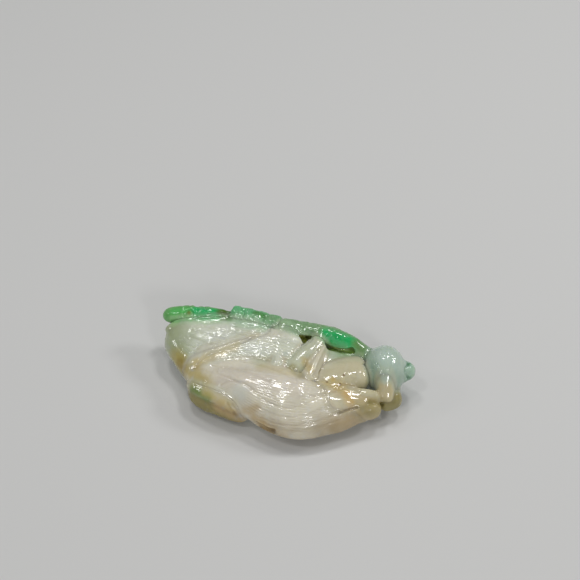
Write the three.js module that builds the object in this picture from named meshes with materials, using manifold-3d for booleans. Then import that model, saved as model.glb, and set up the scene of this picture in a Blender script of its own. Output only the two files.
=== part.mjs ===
// A small openwork jade pendant: a long-winged cricket resting on a curled leaf.
// The real carving is one stone. Each carved element is a solid of its own here,
// and a narrow seam parts it from its neighbours.
// Millimetres, +X along the leaf towards the cricket's head, +Y towards the rolled
// rim of the leaf, +Z up. The origin is the middle of the footprint, on the table.
import * as THREE from "three";
import { mergeVertices } from "three/addons/utils/BufferGeometryUtils.js";
import Module from "manifold-3d";

const wasm = await Module();
wasm.setup();

// The envelope that places follow: every place is a share of these three.
const envelopeLength = 55;
const envelopeWidth = 26.5;
const envelopeHeight = 12.5;

// The seam between two carved elements.
const seamGap = 0.25;

// Leaf: a thick blade, its rolled rim in three lengths on a low back wall, and a front fold.
const leafBreadth = 20;
const leafThickness = 8.2;
const rimRollThickness = 3.1;
const scrollBreadth = 3.7;
const scrollThickness = 4;
const archBreadth = 3.4;
const archThickness = 3.8;
const backWallBreadth = 2.6;
const backWallHeight = 7.2;
const foldBreadth = 4.4;
const foldThickness = 4.8;

// Wings: the near one is a broad fluted blade, the far one lies beside it.
const nearWingBreadth = 13;
const nearWingThickness = 6.6;
const nearWingFluteHeight = 0.26;
const nearWingFluteCount = 8;
const farWingBreadth = 10.6;
const farWingThickness = 4.6;
const farWingFluteHeight = 0.2;
const farWingFluteCount = 5;
const wingEdgeBreadth = 1.5;
const wingEdgeThickness = 1.8;

// Head and body.
const headLength = 8.5;
const headBreadth = 10.4;
const eyeDiameter = 4.1;
const shieldBreadth = 6.4;
const shieldThickness = 5.8;
const thoraxBreadth = 6;
const thoraxThickness = 5.6;

// Legs.
const thighBreadth = 2.9;
const thighThickness = 3.2;
const shinBreadth = 2;
const shinThickness = 2.6;
const middleLegBreadth = 1.5;
const middleLegThickness = 2;
const forelegBreadth = 3;
const forelegThickness = 3.2;
const forefootBreadth = 4.2;
const forefootThickness = 4.2;
const upperArmBreadth = 2.8;
const upperArmThickness = 3.4;
const lowerArmBreadth = 4.2;
const lowerArmThickness = 4.6;

// Jade as polished: pale body, apple-green rim, honey where the skin of the stone was left.
const jade = (color) => new THREE.MeshStandardMaterial({ color, roughness: 0.18, metalness: 0 });
const paleJade = jade(0xcfd2c2);
const icyJade = jade(0xb4c6bf);
const greenJade = jade(0x3f9d5f);
const honeyJade = jade(0xcdbb86);

const place = ([x, y, z]) =>
  new THREE.Vector3(x * envelopeLength, y * envelopeWidth, z * envelopeHeight);

// A value read from evenly spaced shares, on a smooth curve through them.
function shareCurve(shares) {
  const curve = new THREE.SplineCurve(shares.map((share, i) => new THREE.Vector2(i, share)));
  return (t) => curve.getPoint(t).y;
}

// A carved swelling: rounded sections strung on a spine and domed at both ends.
// Breadth lies level, thickness stands up, and lean tips the top towards the near side.
// Flutes are low ridges that run along the upper face.
function swelling(s) {
  const curve = new THREE.CatmullRomCurve3(s.spineShares.map(place), false, "centripetal");
  const along = s.along ?? 14;
  const crown = s.crown ?? 10;
  const belly = s.belly ?? 8;
  const around = crown + belly;
  const roundness = 2 / (s.squareness ?? 2);
  const lean = THREE.MathUtils.degToRad(s.lean ?? 0);
  const [startDome, endDome] = s.domeShares ?? [0.16, 0.16];
  const breadthShareAt = shareCurve(s.breadthShares ?? [1, 1]);
  const thicknessShareAt = shareCurve(s.thicknessShares ?? [1, 1]);
  const positions = [];
  const up = new THREE.Vector3(0, 0, 1);
  for (let i = 1; i < along; i++) {
    const t = 0.5 - 0.5 * Math.cos((Math.PI * i) / along);
    const inset = Math.min(t / startDome, (1 - t) / endDome, 1);
    const dome = Math.sqrt(1 - (1 - inset) ** 2);
    const breadth = 0.5 * s.breadth * dome * breadthShareAt(t);
    const thickness = 0.5 * s.thickness * dome * thicknessShareAt(t);
    const tangent = curve.getTangentAt(t);
    const level = new THREE.Vector3().crossVectors(tangent, up).normalize();
    const upright = new THREE.Vector3().crossVectors(level, tangent);
    const side = level.clone().multiplyScalar(Math.cos(lean)).addScaledVector(upright, -Math.sin(lean));
    const top = upright.clone().multiplyScalar(Math.cos(lean)).addScaledVector(level, Math.sin(lean));
    const middle = curve.getPointAt(t);
    for (let j = 0; j < around; j++) {
      const angle = j < crown ? (Math.PI * j) / crown : Math.PI * (1 + (j - crown) / belly);
      const c = Math.cos(angle);
      const n = Math.sin(angle);
      const across = Math.sign(c) * Math.abs(c) ** roundness;
      const rise = Math.sign(n) * Math.abs(n) ** roundness;
      const ridge = n > 0 ? Math.cos(2 * Math.PI * (s.fluteCount ?? 0) * across / 2) * n * dome : 0;
      const point = middle
        .clone()
        .addScaledVector(side, breadth * across)
        .addScaledVector(top, thickness * rise + 0.5 * (s.fluteHeight ?? 0) * ridge);
      positions.push(point.x, point.y, point.z);
    }
  }
  const first = curve.getPointAt(0);
  const last = curve.getPointAt(1);
  const start = positions.length / 3;
  positions.push(first.x, first.y, first.z, last.x, last.y, last.z);
  const index = [];
  const rings = along - 1;
  for (let j = 0; j < around; j++) {
    const k = (j + 1) % around;
    index.push(start, j, k);
    for (let i = 0; i < rings - 1; i++) {
      const a = i * around;
      const b = a + around;
      index.push(a + j, b + j, b + k, a + j, b + k, a + k);
    }
    const z = (rings - 1) * around;
    index.push(z + j, start + 1, z + k);
  }
  const geometry = new THREE.BufferGeometry();
  geometry.setAttribute("position", new THREE.Float32BufferAttribute(positions, 3));
  geometry.setIndex(index);
  return geometry;
}

// The head is a tall egg, and the bead of its eye is set halfway into its front.
const headCentreShares = [0.389, 0.343, 0.5];
const headTurn = 22;
const eyeDirection = new THREE.Vector3(0.944, 0.322, -0.06).normalize();

function egg(length, breadth, turn, centre, around) {
  const geometry = new THREE.SphereGeometry(0.5, around, Math.round(around / 1.5));
  geometry.rotateX(Math.PI / 2).scale(length, breadth, breadth);
  geometry.rotateZ(THREE.MathUtils.degToRad(turn));
  return geometry.translate(centre.x, centre.y, centre.z);
}

const head = () => egg(headLength, headBreadth, headTurn, place(headCentreShares), 24);

function eye() {
  const centre = place(headCentreShares).addScaledVector(eyeDirection, headLength / 2);
  return egg(eyeDiameter, eyeDiameter, 0, centre, 18);
}

// Carved elements in the order that they were cut free: each keeps its own form,
// and gives way to those above it in the list.
const elements = [
  {
    name: "head",
    material: icyJade,
    make: head,
  },
  {
    name: "eye_bead",
    material: icyJade,
    make: eye,
  },
  {
    name: "foreleg",
    material: honeyJade,
    make: () =>
      swelling({
        spineShares: [[0.405, 0.243, 0.72], [0.417, 0.163, 0.624], [0.423, 0.121, 0.48], [0.426, 0.082, 0.352]],
        breadth: forelegBreadth,
        breadthShares: [0.7, 0.9, 1.1, 1.15],
        thickness: forelegThickness,
        along: 10,
      }),
  },
  {
    name: "pronotum_shield",
    material: honeyJade,
    make: () =>
      swelling({
        spineShares: [[0.13, 0, 0.45], [0.206, 0.075, 0.5], [0.261, 0.15, 0.52], [0.33, 0.25, 0.49]],
        breadth: shieldBreadth,
        breadthShares: [0.6, 0.9, 1, 1],
        thickness: shieldThickness,
        thicknessShares: [0.6, 0.9, 1, 0.95],
        squareness: 2.3,
        domeShares: [0.3, 0.14],
      }),
  },
  {
    name: "hind_thigh",
    material: paleJade,
    make: () =>
      swelling({
        spineShares: [[0.058, 0.03, 0.7], [0.086, 0.139, 0.76], [0.104, 0.222, 0.79], [0.13, 0.37, 0.75]],
        breadth: thighBreadth,
        breadthShares: [1.15, 1.1, 0.95, 0.8],
        thickness: thighThickness,
        along: 10,
      }),
  },
  {
    name: "hind_shin",
    material: paleJade,
    make: () =>
      swelling({
        spineShares: [[0.142, 0.34, 0.72], [0.14, 0.208, 0.77], [0.138, 0.074, 0.77], [0.139, -0.06, 0.72]],
        breadth: shinBreadth,
        breadthShares: [1.1, 1, 0.95, 1.2],
        thickness: shinThickness,
        along: 10,
      }),
  },
  {
    name: "middle_leg",
    material: paleJade,
    make: () =>
      swelling({
        spineShares: [[-0.028, 0.34, 0.72], [-0.01, 0.208, 0.77], [0.0, 0.085, 0.8], [0.012, -0.02, 0.79]],
        breadth: middleLegBreadth,
        breadthShares: [1, 0.85, 1, 1.7],
        thickness: middleLegThickness,
        thicknessShares: [1, 0.9, 1, 1.3],
        along: 10,
      }),
  },
  {
    name: "forefoot",
    material: honeyJade,
    make: () =>
      swelling({
        spineShares: [[0.4, 0.085, 0.27], [0.437, 0.14, 0.275], [0.472, 0.21, 0.3]],
        breadth: forefootBreadth,
        thickness: forefootThickness,
        domeShares: [0.4, 0.4],
        along: 8,
      }),
  },
  {
    name: "upper_arm",
    material: honeyJade,
    make: () =>
      swelling({
        spineShares: [[0.25, -0.025, 0.57], [0.319, 0.002, 0.53], [0.358, 0.035, 0.46], [0.41, 0.075, 0.34]],
        breadth: upperArmBreadth,
        thickness: upperArmThickness,
        along: 10,
      }),
  },
  {
    name: "lower_arm",
    material: honeyJade,
    make: () =>
      swelling({
        spineShares: [[0.2, -0.11, 0.5], [0.27, -0.085, 0.48], [0.335, -0.055, 0.41], [0.425, 0.002, 0.3]],
        breadth: lowerArmBreadth,
        breadthShares: [0.7, 0.9, 1.05, 1.05],
        thickness: lowerArmThickness,
        domeShares: [0.2, 0.2],
        along: 12,
      }),
  },
  {
    name: "far_wing_edge",
    material: honeyJade,
    make: () =>
      swelling({
        spineShares: [
          [-0.3, -0.04, 0.54],
          [-0.279, 0.02, 0.61],
          [-0.207, 0.115, 0.67],
          [-0.141, 0.22, 0.71],
          [-0.09, 0.33, 0.73],
        ],
        breadth: wingEdgeBreadth,
        thickness: wingEdgeThickness,
        along: 12,
        crown: 8,
        belly: 4,
      }),
  },
  {
    name: "thorax",
    material: paleJade,
    make: () =>
      swelling({
        spineShares: [[0.075, 0.12, 0.45], [0.145, 0.215, 0.46], [0.221, 0.285, 0.46], [0.305, 0.35, 0.43]],
        breadth: thoraxBreadth,
        breadthShares: [0.9, 1, 1, 0.8],
        thickness: thoraxThickness,
        squareness: 2.5,
        domeShares: [0.14, 0.1],
        along: 12,
      }),
  },
  {
    name: "near_wing",
    material: paleJade,
    make: () =>
      swelling({
        spineShares: [
          [-0.315, -0.19, 0.4],
          [-0.197, -0.2, 0.48],
          [-0.085, -0.21, 0.51],
          [0.026, -0.245, 0.49],
          [0.136, -0.26, 0.47],
          [0.247, -0.19, 0.385],
          [0.37, -0.074, 0.3],
        ],
        breadth: nearWingBreadth,
        breadthShares: [0.22, 0.44, 0.65, 0.92, 0.94, 0.64, 0.4],
        thickness: nearWingThickness,
        thicknessShares: [0.45, 0.75, 0.95, 1, 1, 0.8, 0.6],
        fluteHeight: nearWingFluteHeight,
        fluteCount: nearWingFluteCount,
        lean: 30,
        domeShares: [0.1, 0.14],
        along: 18,
        crown: 28,
        belly: 8,
      }),
  },
  {
    name: "far_wing",
    material: paleJade,
    make: () =>
      swelling({
        spineShares: [
          [-0.325, -0.1, 0.43],
          [-0.245, -0.03, 0.49],
          [-0.165, 0.045, 0.54],
          [-0.085, 0.12, 0.58],
          [0, 0.14, 0.59],
          [0.1, 0.13, 0.56],
        ],
        breadth: farWingBreadth,
        breadthShares: [0.25, 0.5, 0.75, 0.95, 1, 0.9],
        thickness: farWingThickness,
        fluteHeight: farWingFluteHeight,
        fluteCount: farWingFluteCount,
        lean: 12,
        along: 14,
        crown: 20,
        belly: 6,
      }),
  },
  {
    name: "leaf_rim_roll",
    material: greenJade,
    make: () =>
      swelling({
        spineShares: [
          [-0.497, 0.272, 0.62],
          [-0.447, 0.314, 0.67],
          [-0.398, 0.343, 0.7],
          [-0.339, 0.378, 0.71],
          [-0.285, 0.4, 0.7],
          [-0.238, 0.414, 0.68],
        ],
        breadth: rimRollThickness,
        thickness: rimRollThickness,
        breadthShares: [1.05, 1.05, 0.98, 0.88, 0.75],
        thicknessShares: [1.05, 1.05, 0.98, 0.88, 0.75],
        domeShares: [0.14, 0.08],
        along: 12,
      }),
  },
  {
    name: "leaf_rim_scroll",
    material: greenJade,
    make: () =>
      swelling({
        spineShares: [[-0.245, 0.438, 0.705], [-0.185, 0.432, 0.715], [-0.119, 0.429, 0.725], [-0.04, 0.433, 0.73]],
        breadth: scrollBreadth,
        thickness: scrollThickness,
        breadthShares: [1, 1, 0.95, 0.85],
        squareness: 2.8,
        domeShares: [0.06, 0.06],
        along: 10,
      }),
  },
  {
    name: "leaf_rim_arch",
    material: greenJade,
    make: () =>
      swelling({
        spineShares: [
          [-0.049, 0.425, 0.74],
          [0.017, 0.437, 0.76],
          [0.083, 0.435, 0.77],
          [0.146, 0.433, 0.765],
          [0.202, 0.431, 0.755],
          [0.251, 0.427, 0.715],
          [0.287, 0.418, 0.62],
          [0.31, 0.385, 0.5],
        ],
        breadth: archBreadth,
        breadthShares: [0.95, 0.85, 0.9, 1, 1, 0.95, 0.95, 1.05],
        thickness: archThickness,
        thicknessShares: [0.85, 0.8, 0.9, 1.05, 1.1, 1, 0.9, 1],
        domeShares: [0.06, 0.1],
        along: 18,
      }),
  },
  {
    name: "leaf_back_wall",
    material: paleJade,
    make: () =>
      swelling({
        spineShares: [
          [-0.12, 0.449, 0.43],
          [0, 0.452, 0.42],
          [0.1, 0.452, 0.41],
          [0.2, 0.445, 0.39],
          [0.27, 0.42, 0.36],
        ],
        breadth: backWallBreadth,
        thickness: backWallHeight,
        lean: -35,
        along: 12,
        crown: 8,
        belly: 6,
      }),
  },
  {
    name: "leaf_front_fold",
    material: honeyJade,
    make: () =>
      swelling({
        spineShares: [
          [-0.292, -0.243, 0.288],
          [-0.228, -0.296, 0.248],
          [-0.163, -0.32, 0.24],
          [-0.092, -0.346, 0.216],
          [-0.046, -0.36, 0.176],
        ],
        breadth: foldBreadth,
        breadthShares: [0.8, 1, 1, 0.9, 0.6],
        thickness: foldThickness,
        thicknessShares: [0.8, 1, 1, 0.9, 0.6],
        domeShares: [0.16, 0.1],
        along: 12,
      }),
  },
  {
    name: "leaf_blade",
    material: paleJade,
    make: () =>
      swelling({
        spineShares: [
          [-0.455, 0.24, 0.5],
          [-0.363, 0.155, 0.42],
          [-0.27, 0.105, 0.375],
          [-0.165, 0.08, 0.35],
          [-0.063, 0.07, 0.33],
          [0.038, 0.06, 0.31],
          [0.14, 0.07, 0.28],
          [0.235, 0.1, 0.25],
          [0.32, 0.14, 0.23],
        ],
        breadth: leafBreadth,
        breadthShares: [0.4, 0.56, 0.82, 0.96, 1, 1, 0.94, 0.78, 0.55],
        thickness: leafThickness,
        thicknessShares: [0.7, 0.9, 1, 1, 1, 1, 0.95, 0.9, 0.8],
        squareness: 2.4,
        lean: 20,
        domeShares: [0.08, 0.1],
        along: 16,
        crown: 14,
        belly: 8,
      }),
  },
];

// Vertices shared and stripped of all but their places.
function welded(geometry) {
  const bare = new THREE.BufferGeometry().setAttribute("position", geometry.getAttribute("position"));
  if (geometry.index) bare.setIndex(geometry.index);
  return mergeVertices(bare, 1e-4);
}

const solidOf = (geometry) =>
  new wasm.Manifold(
    new wasm.Mesh({
      numProp: 3,
      vertProperties: new Float32Array(geometry.getAttribute("position").array),
      triVerts: new Uint32Array(geometry.index.array),
    }),
  );

// The same form swelled by the seam, which its neighbours are cut back to.
function swelled(geometry) {
  const grown = geometry.clone();
  grown.computeVertexNormals();
  const position = grown.getAttribute("position");
  const normal = grown.getAttribute("normal");
  for (let i = 0; i < position.count; i++) {
    position.setXYZ(
      i,
      position.getX(i) + seamGap * normal.getX(i),
      position.getY(i) + seamGap * normal.getY(i),
      position.getZ(i) + seamGap * normal.getZ(i),
    );
  }
  return grown;
}

// A boolean may leave chips at a seam: the element is the largest piece.
const largest = (solid) => solid.decompose().sort((a, b) => b.volume() - a.volume())[0];

function meshOf(name, material, solid) {
  const { vertProperties, triVerts } = solid.getMesh();
  const geometry = new THREE.BufferGeometry();
  geometry.setAttribute("position", new THREE.Float32BufferAttribute(vertProperties, 3));
  geometry.setIndex(new THREE.Uint32BufferAttribute(triVerts, 1));
  const mesh = new THREE.Mesh(geometry, material);
  mesh.name = name;
  return mesh;
}

// Everything stands on z = 0: the ground flat of the real stone.
const table = new THREE.BoxGeometry(2 * envelopeLength, 2 * envelopeWidth, envelopeHeight);
table.translate(0, 0, -envelopeHeight / 2);
let taken = solidOf(welded(table));

const pendant = new THREE.Group();
pendant.name = "jade_pendant";
for (const { name, material, make } of elements) {
  const form = welded(make());
  pendant.add(meshOf(name, material, largest(solidOf(form).subtract(taken))));
  taken = taken.add(solidOf(swelled(form)));
}

// The origin goes to the middle of the footprint.
const bounds = new THREE.Box3().setFromObject(pendant);
const centre = bounds.getCenter(new THREE.Vector3());
pendant.position.set(-centre.x, -centre.y, -bounds.min.z);

export default pendant;
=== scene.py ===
# %% [markdown]
# # A carved jade pendant
# The real object is one jadeite pebble, about 55 mm long: a cricket that rests on a curled
# leaf. The CAD model keeps each carved element as a solid of its own, with a fine seam
# between them. A real carving has no seams, so this script makes the same elements again at
# a finer grain and then works as a carver does: rough out, blend, engrave, pit and polish.

# %% Load the CAD frame
import math

import bmesh
import bpy
import numpy as np
from mathutils import Matrix, Vector
from mathutils.bvhtree import BVHTree


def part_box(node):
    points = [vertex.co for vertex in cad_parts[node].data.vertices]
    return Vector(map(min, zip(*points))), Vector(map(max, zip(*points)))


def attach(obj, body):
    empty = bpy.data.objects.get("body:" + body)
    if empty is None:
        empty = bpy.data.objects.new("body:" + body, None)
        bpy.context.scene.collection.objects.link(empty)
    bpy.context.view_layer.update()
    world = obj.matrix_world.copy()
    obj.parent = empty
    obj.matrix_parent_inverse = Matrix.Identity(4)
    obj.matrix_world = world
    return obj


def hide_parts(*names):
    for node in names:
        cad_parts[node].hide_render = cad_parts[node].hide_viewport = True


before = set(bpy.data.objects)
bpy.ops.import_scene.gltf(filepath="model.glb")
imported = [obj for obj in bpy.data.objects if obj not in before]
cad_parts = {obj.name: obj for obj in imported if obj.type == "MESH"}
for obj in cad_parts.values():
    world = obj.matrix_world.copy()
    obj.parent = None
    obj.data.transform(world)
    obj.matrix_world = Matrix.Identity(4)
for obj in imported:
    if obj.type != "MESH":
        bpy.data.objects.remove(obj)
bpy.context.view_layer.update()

# %% [markdown]
# Places are written as shares of one envelope, just as in the CAD source, and lengths in
# millimetres. The CAD model was afterwards moved to centre its footprint. Nothing cuts into
# the head, so the middle of its box tells how far everything was moved.

# %% Envelope and shift
ENVELOPE_MM = np.array([55.0, 26.5, 12.5])
HEAD_CENTRE_SHARES = (0.389, 0.343, 0.5)
head_box_mm = 1000.0 * np.array([list(corner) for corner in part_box("head")])
SHIFT_MM = head_box_mm.mean(axis=0) - np.array(HEAD_CENTRE_SHARES) * ENVELOPE_MM


def place(shares):
    """A place in millimetres in the CAD frame, from shares of the envelope."""
    return np.asarray(shares, float) * ENVELOPE_MM + SHIFT_MM


def shares_at(places_mm):
    """The other way round, for a mark that was measured on the finished stone."""
    return (np.asarray(places_mm, float) - SHIFT_MM) / ENVELOPE_MM


print("moved by, in mm:", SHIFT_MM.round(3))

# %% [markdown]
# The camera comes early, so that every later step can be looked at. It stands where the
# photograph was taken from: a little towards the head, halfway up, and far off with a long
# lens, so that the small stone hardly tapers with distance.

# %% Camera
CAMERA_AZIMUTH_DEG = 19.0
CAMERA_ELEVATION_DEG = 45.0
CAMERA_DISTANCE_MM = 450.0
MM_PER_PIXEL = 0.22
IMAGE_PIXELS = 580
SENSOR_MM = 36.0
NEAREST_SEEN_M = 0.01
AIM_MM = Vector((-7.0, 29.95, 0.0))


def towards(azimuth_deg, elevation_deg):
    """The unit arrow that points from the object to someone who looks at it from there."""
    a, e = math.radians(azimuth_deg), math.radians(elevation_deg)
    return Vector((math.sin(a) * math.cos(e), -math.cos(a) * math.cos(e), math.sin(e)))


camera_data = bpy.data.cameras.new("camera")
camera_data.sensor_width = SENSOR_MM
camera_data.lens = SENSOR_MM * CAMERA_DISTANCE_MM / (MM_PER_PIXEL * IMAGE_PIXELS)
camera_data.clip_start = NEAREST_SEEN_M
camera = bpy.data.objects.new("camera", camera_data)
bpy.context.scene.collection.objects.link(camera)
to_camera = towards(CAMERA_AZIMUTH_DEG, CAMERA_ELEVATION_DEG)
camera_mm = AIM_MM + to_camera * CAMERA_DISTANCE_MM
camera_turn = to_camera.to_track_quat("Z", "Y")
camera.location = camera_mm / 1000.0
camera.rotation_euler = camera_turn.to_euler()
bpy.context.scene.camera = camera
print("lens in mm:", round(camera_data.lens, 1))

# %% [markdown]
# Most steps below are node trees. Wired by hand in the editor, a formula becomes a long row
# of Math nodes. In a script, a small class that stands for a socket lets the same formula
# be written as it is on paper, and each operation still becomes a real node.

# %% Helpers for node trees
def feed(tree, socket, value):
    """Gives a socket its value, or a link where the value comes from another node."""
    value = value.socket if isinstance(value, Flow) else value
    if isinstance(value, bpy.types.NodeSocket):
        tree.links.new(value, socket)
    else:
        socket.default_value = value


def put(tree, kind, feeds=None, **settings):
    """A new node, with its settings made and its sockets fed by name or by number."""
    made = tree.nodes.new(kind)
    for name, value in settings.items():
        setattr(made, name, value)
    for name, value in (feeds or {}).items():
        feed(tree, made.inputs[name], value)
    return made


def maths(tree, operation, *values):
    """One Math node."""
    return Flow(put(tree, "ShaderNodeMath", dict(enumerate(values)), operation=operation).outputs[0])


def joining(operation, swapped=False):
    """A method that joins two values with a Math node."""
    def method(self, other):
        values = (other, self) if swapped else (self, other)
        return maths(self.tree, operation, *values)
    return method


class Flow:
    """A socket that can be added to, multiplied and so on."""

    def __init__(self, socket):
        self.socket = socket
        self.tree = socket.id_data

    __add__ = joining("ADD")
    __sub__ = joining("SUBTRACT")
    __rsub__ = joining("SUBTRACT", swapped=True)
    __mul__ = joining("MULTIPLY")
    __truediv__ = joining("DIVIDE")
    __rtruediv__ = joining("DIVIDE", swapped=True)
    __pow__ = joining("POWER")
    at_least = joining("MAXIMUM")
    at_most = joining("MINIMUM")

    def of(self, operation):
        """A Math node with one input, such as COSINE, ABSOLUTE, SIGN or SQRT."""
        return maths(self.tree, operation, self)

    def ramp(self, none_at, full_at):
        """Runs softly from 0, where the value is none_at, to 1, where it is full_at."""
        node = put(self.tree, "ShaderNodeMapRange", {
            "Value": self, "From Min": none_at, "From Max": full_at,
        }, interpolation_type="SMOOTHSTEP")
        return Flow(node.outputs["Result"])


def arrows(operation, *values):
    """One Vector Math node: it gives a vector, or a number for DOT_PRODUCT and LENGTH."""
    numbered = dict(enumerate(values))
    if operation == "SCALE":
        numbered = {0: values[0], "Scale": values[1]}
    node = put(values[0].tree, "ShaderNodeVectorMath", numbered, operation=operation)
    return Flow(node.outputs["Value" if operation in ("DOT_PRODUCT", "LENGTH") else "Vector"])


def socket_kind(value):
    """The kind of socket for a value. A word, such as Geometry, stands for the kind itself."""
    if isinstance(value, str):
        return value
    if isinstance(value, tuple):
        return "Vector" if len(value) == 3 else "Color"
    return "Int" if isinstance(value, int) else "Float"


def new_tree(name, kind, inputs):
    """An empty tree with named inputs, each given by its starting value."""
    tree = bpy.data.node_groups.new(name, kind)
    for title, value in inputs.items():
        full_kind = "NodeSocket" + socket_kind(value)
        socket = tree.interface.new_socket(title, in_out="INPUT", socket_type=full_kind)
        if not isinstance(value, str):
            socket.default_value = value
    entrance = tree.nodes.new("NodeGroupInput")
    return tree, {title: Flow(entrance.outputs[title]) for title in inputs}


def noise(tree, places, scale, detail, seed):
    """Smooth noise from 0 to 1."""
    return Flow(put(tree, "ShaderNodeTexNoise", {
        "Vector": places, "Scale": scale, "Detail": detail, "W": seed,
    }, noise_dimensions="4D").outputs[0])


# %% Helpers for the trees that work on a stone
def stone_tree(name, inputs):
    """An empty tree for a stone. With its inputs come where each point lies and where it faces."""
    tree, given = new_tree(name, "GeometryNodeTree", {"Stone": "Geometry", **inputs})
    here = Flow(put(tree, "GeometryNodeInputPosition").outputs[0])
    facing = Flow(put(tree, "GeometryNodeInputNormal").outputs[0])
    return tree, given, here, facing


def kept(tree, name, kind="FLOAT"):
    """What every point keeps under a name."""
    return Flow(put(tree, "GeometryNodeInputNamedAttribute", {"Name": name}, data_type=kind).outputs[0])


def keep(tree, geometry, name, value, kind="FLOAT"):
    """Lets every point keep a value under a name."""
    return put(tree, "GeometryNodeStoreNamedAttribute", {
        "Geometry": geometry, "Name": name, "Value": value,
    }, data_type=kind, domain="POINT").outputs[0]


def push(tree, geometry, arrow, distance):
    """Moves every point along an arrow."""
    return put(tree, "GeometryNodeSetPosition", {
        "Geometry": geometry, "Offset": arrows("SCALE", arrow, distance),
    }).outputs[0]


def meshes_of(tree, collection):
    """The meshes of a collection, as one."""
    found = put(tree, "GeometryNodeCollectionInfo", {"Collection": collection})
    return put(tree, "GeometryNodeRealizeInstances", {"Geometry": found.outputs[0]}).outputs[0]


def mesh_of(tree, thing):
    """The mesh of an object."""
    return put(tree, "GeometryNodeObjectInfo", {"Object": thing}).outputs["Geometry"]


def distance_to(tree, mesh, part="FACES"):
    """How far each point is from another mesh."""
    return Flow(put(tree, "GeometryNodeProximity", {0: mesh}, target_element=part).outputs["Distance"])


def at_nearest(tree, mesh, value, kind="FLOAT"):
    """A value of another mesh, at the place on it that is nearest to each point."""
    return Flow(put(tree, "GeometryNodeSampleNearestSurface", {
        "Mesh": mesh, "Value": value,
    }, data_type=kind).outputs[0])


# %% [markdown]
# Each Geometry Nodes tree closes with Realize Instances and Set Material, and a finished
# modifier is applied at once: the evaluated mesh becomes the object's own, so that nothing
# live is left on the stone.

# %% Helpers that run a tree
jade = bpy.data.materials.new("polished_jade")
jade.use_nodes = True


def close_tree(tree, geometry):
    """Ends a Geometry Nodes tree."""
    tree.interface.new_socket("Geometry", in_out="OUTPUT", socket_type="NodeSocketGeometry")
    real = put(tree, "GeometryNodeRealizeInstances", {"Geometry": geometry})
    dressed = put(tree, "GeometryNodeSetMaterial", {"Geometry": real.outputs[0], "Material": jade})
    put(tree, "NodeGroupOutput", {0: dressed.outputs[0]})


def work(thing, tree, **settings):
    """Adds a tree to an object as a modifier. Its inputs are set by their identifiers."""
    step = thing.modifiers.new(tree.name, "NODES")
    step.node_group = tree
    for item in tree.interface.items_tree:
        title = item.name.lower().replace(" ", "_")
        if item.item_type == "SOCKET" and item.in_out == "INPUT" and title in settings:
            step[item.identifier] = settings[title]


def settle(thing):
    """Applies every modifier of an object."""
    bpy.context.view_layer.update()
    evaluated = thing.evaluated_get(bpy.context.evaluated_depsgraph_get())
    settled = bpy.data.meshes.new_from_object(evaluated)
    thing.modifiers.clear()
    thing.data = settled


def new_object(name, vertices, edges=(), faces=()):
    """A mesh object, linked to the scene."""
    mesh = bpy.data.meshes.new(name)
    mesh.from_pydata([tuple(v) for v in vertices], list(edges), list(faces))
    thing = bpy.data.objects.new(name, mesh)
    bpy.context.scene.collection.objects.link(thing)
    return thing


# %% [markdown]
# Each carved element is a *swelling*: rounded sections on a curved spine, domed at both
# ends. It could be sculpted by hand, but then nothing would hold it to the CAD model. The
# rule is the CAD source's own: a spine, two girths that change along it, a lean, and a
# squareness that turns the oval section towards a box. The spine is laid as a row of edges.

# %% Spine of an element
SPINE_POINTS = 121
STEPS_PER_STRETCH = 60


def smooth_path(points):
    """Points on a centripetal Catmull-Rom curve, evenly spaced along its length."""
    points = np.asarray(points, float)
    ends = np.vstack([2 * points[0] - points[1], points, 2 * points[-1] - points[-2]])
    stretches = []
    for p0, p1, p2, p3 in zip(ends, ends[1:], ends[2:], ends[3:]):
        steps = [np.linalg.norm(b - a) ** 0.5 for a, b in ((p0, p1), (p1, p2), (p2, p3))]
        t0, t1, t2, t3 = np.cumsum([0.0] + steps)
        t = np.linspace(t1, t2, STEPS_PER_STRETCH, endpoint=False)[:, None]
        a1 = ((t1 - t) * p0 + (t - t0) * p1) / (t1 - t0)
        a2 = ((t2 - t) * p1 + (t - t1) * p2) / (t2 - t1)
        a3 = ((t3 - t) * p2 + (t - t2) * p3) / (t3 - t2)
        b1 = ((t2 - t) * a1 + (t - t0) * a2) / (t2 - t0)
        b2 = ((t3 - t) * a2 + (t - t1) * a3) / (t3 - t1)
        stretches.append(((t2 - t) * b1 + (t - t1) * b2) / (t2 - t1))
    path = np.vstack(stretches + [points[-1:]])
    travelled = np.concatenate([[0.0], np.cumsum(np.linalg.norm(np.diff(path, axis=0), axis=1))])
    even = np.linspace(0.0, travelled[-1], SPINE_POINTS)
    return np.stack([np.interp(even, travelled, path[:, axis]) for axis in range(3)], axis=1)


def smooth_shares(shares):
    """Evenly spaced shares, read along the spine on a smooth curve through them."""
    shares = np.asarray(shares, float)
    last = len(shares) - 1
    at = np.linspace(0.0, last, SPINE_POINTS)
    i = np.minimum(np.floor(at).astype(int), last - 1)
    f = at - i
    before, here = shares[np.maximum(i - 1, 0)], shares[i]
    after, later = shares[i + 1], shares[np.minimum(i + 2, last)]
    leaving, arriving = (after - before) / 2, (later - here) / 2
    return (
        (2 * here - 2 * after + leaving + arriving) * f ** 3
        + (3 * after - 3 * here - 2 * leaving - arriving) * f ** 2
        + leaving * f + here
    )


def edge_row(points):
    """A row of edges along a smooth path."""
    return new_object("edge_row", smooth_path(points), edges=[(i, i + 1) for i in range(SPINE_POINTS - 1)])


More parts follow.
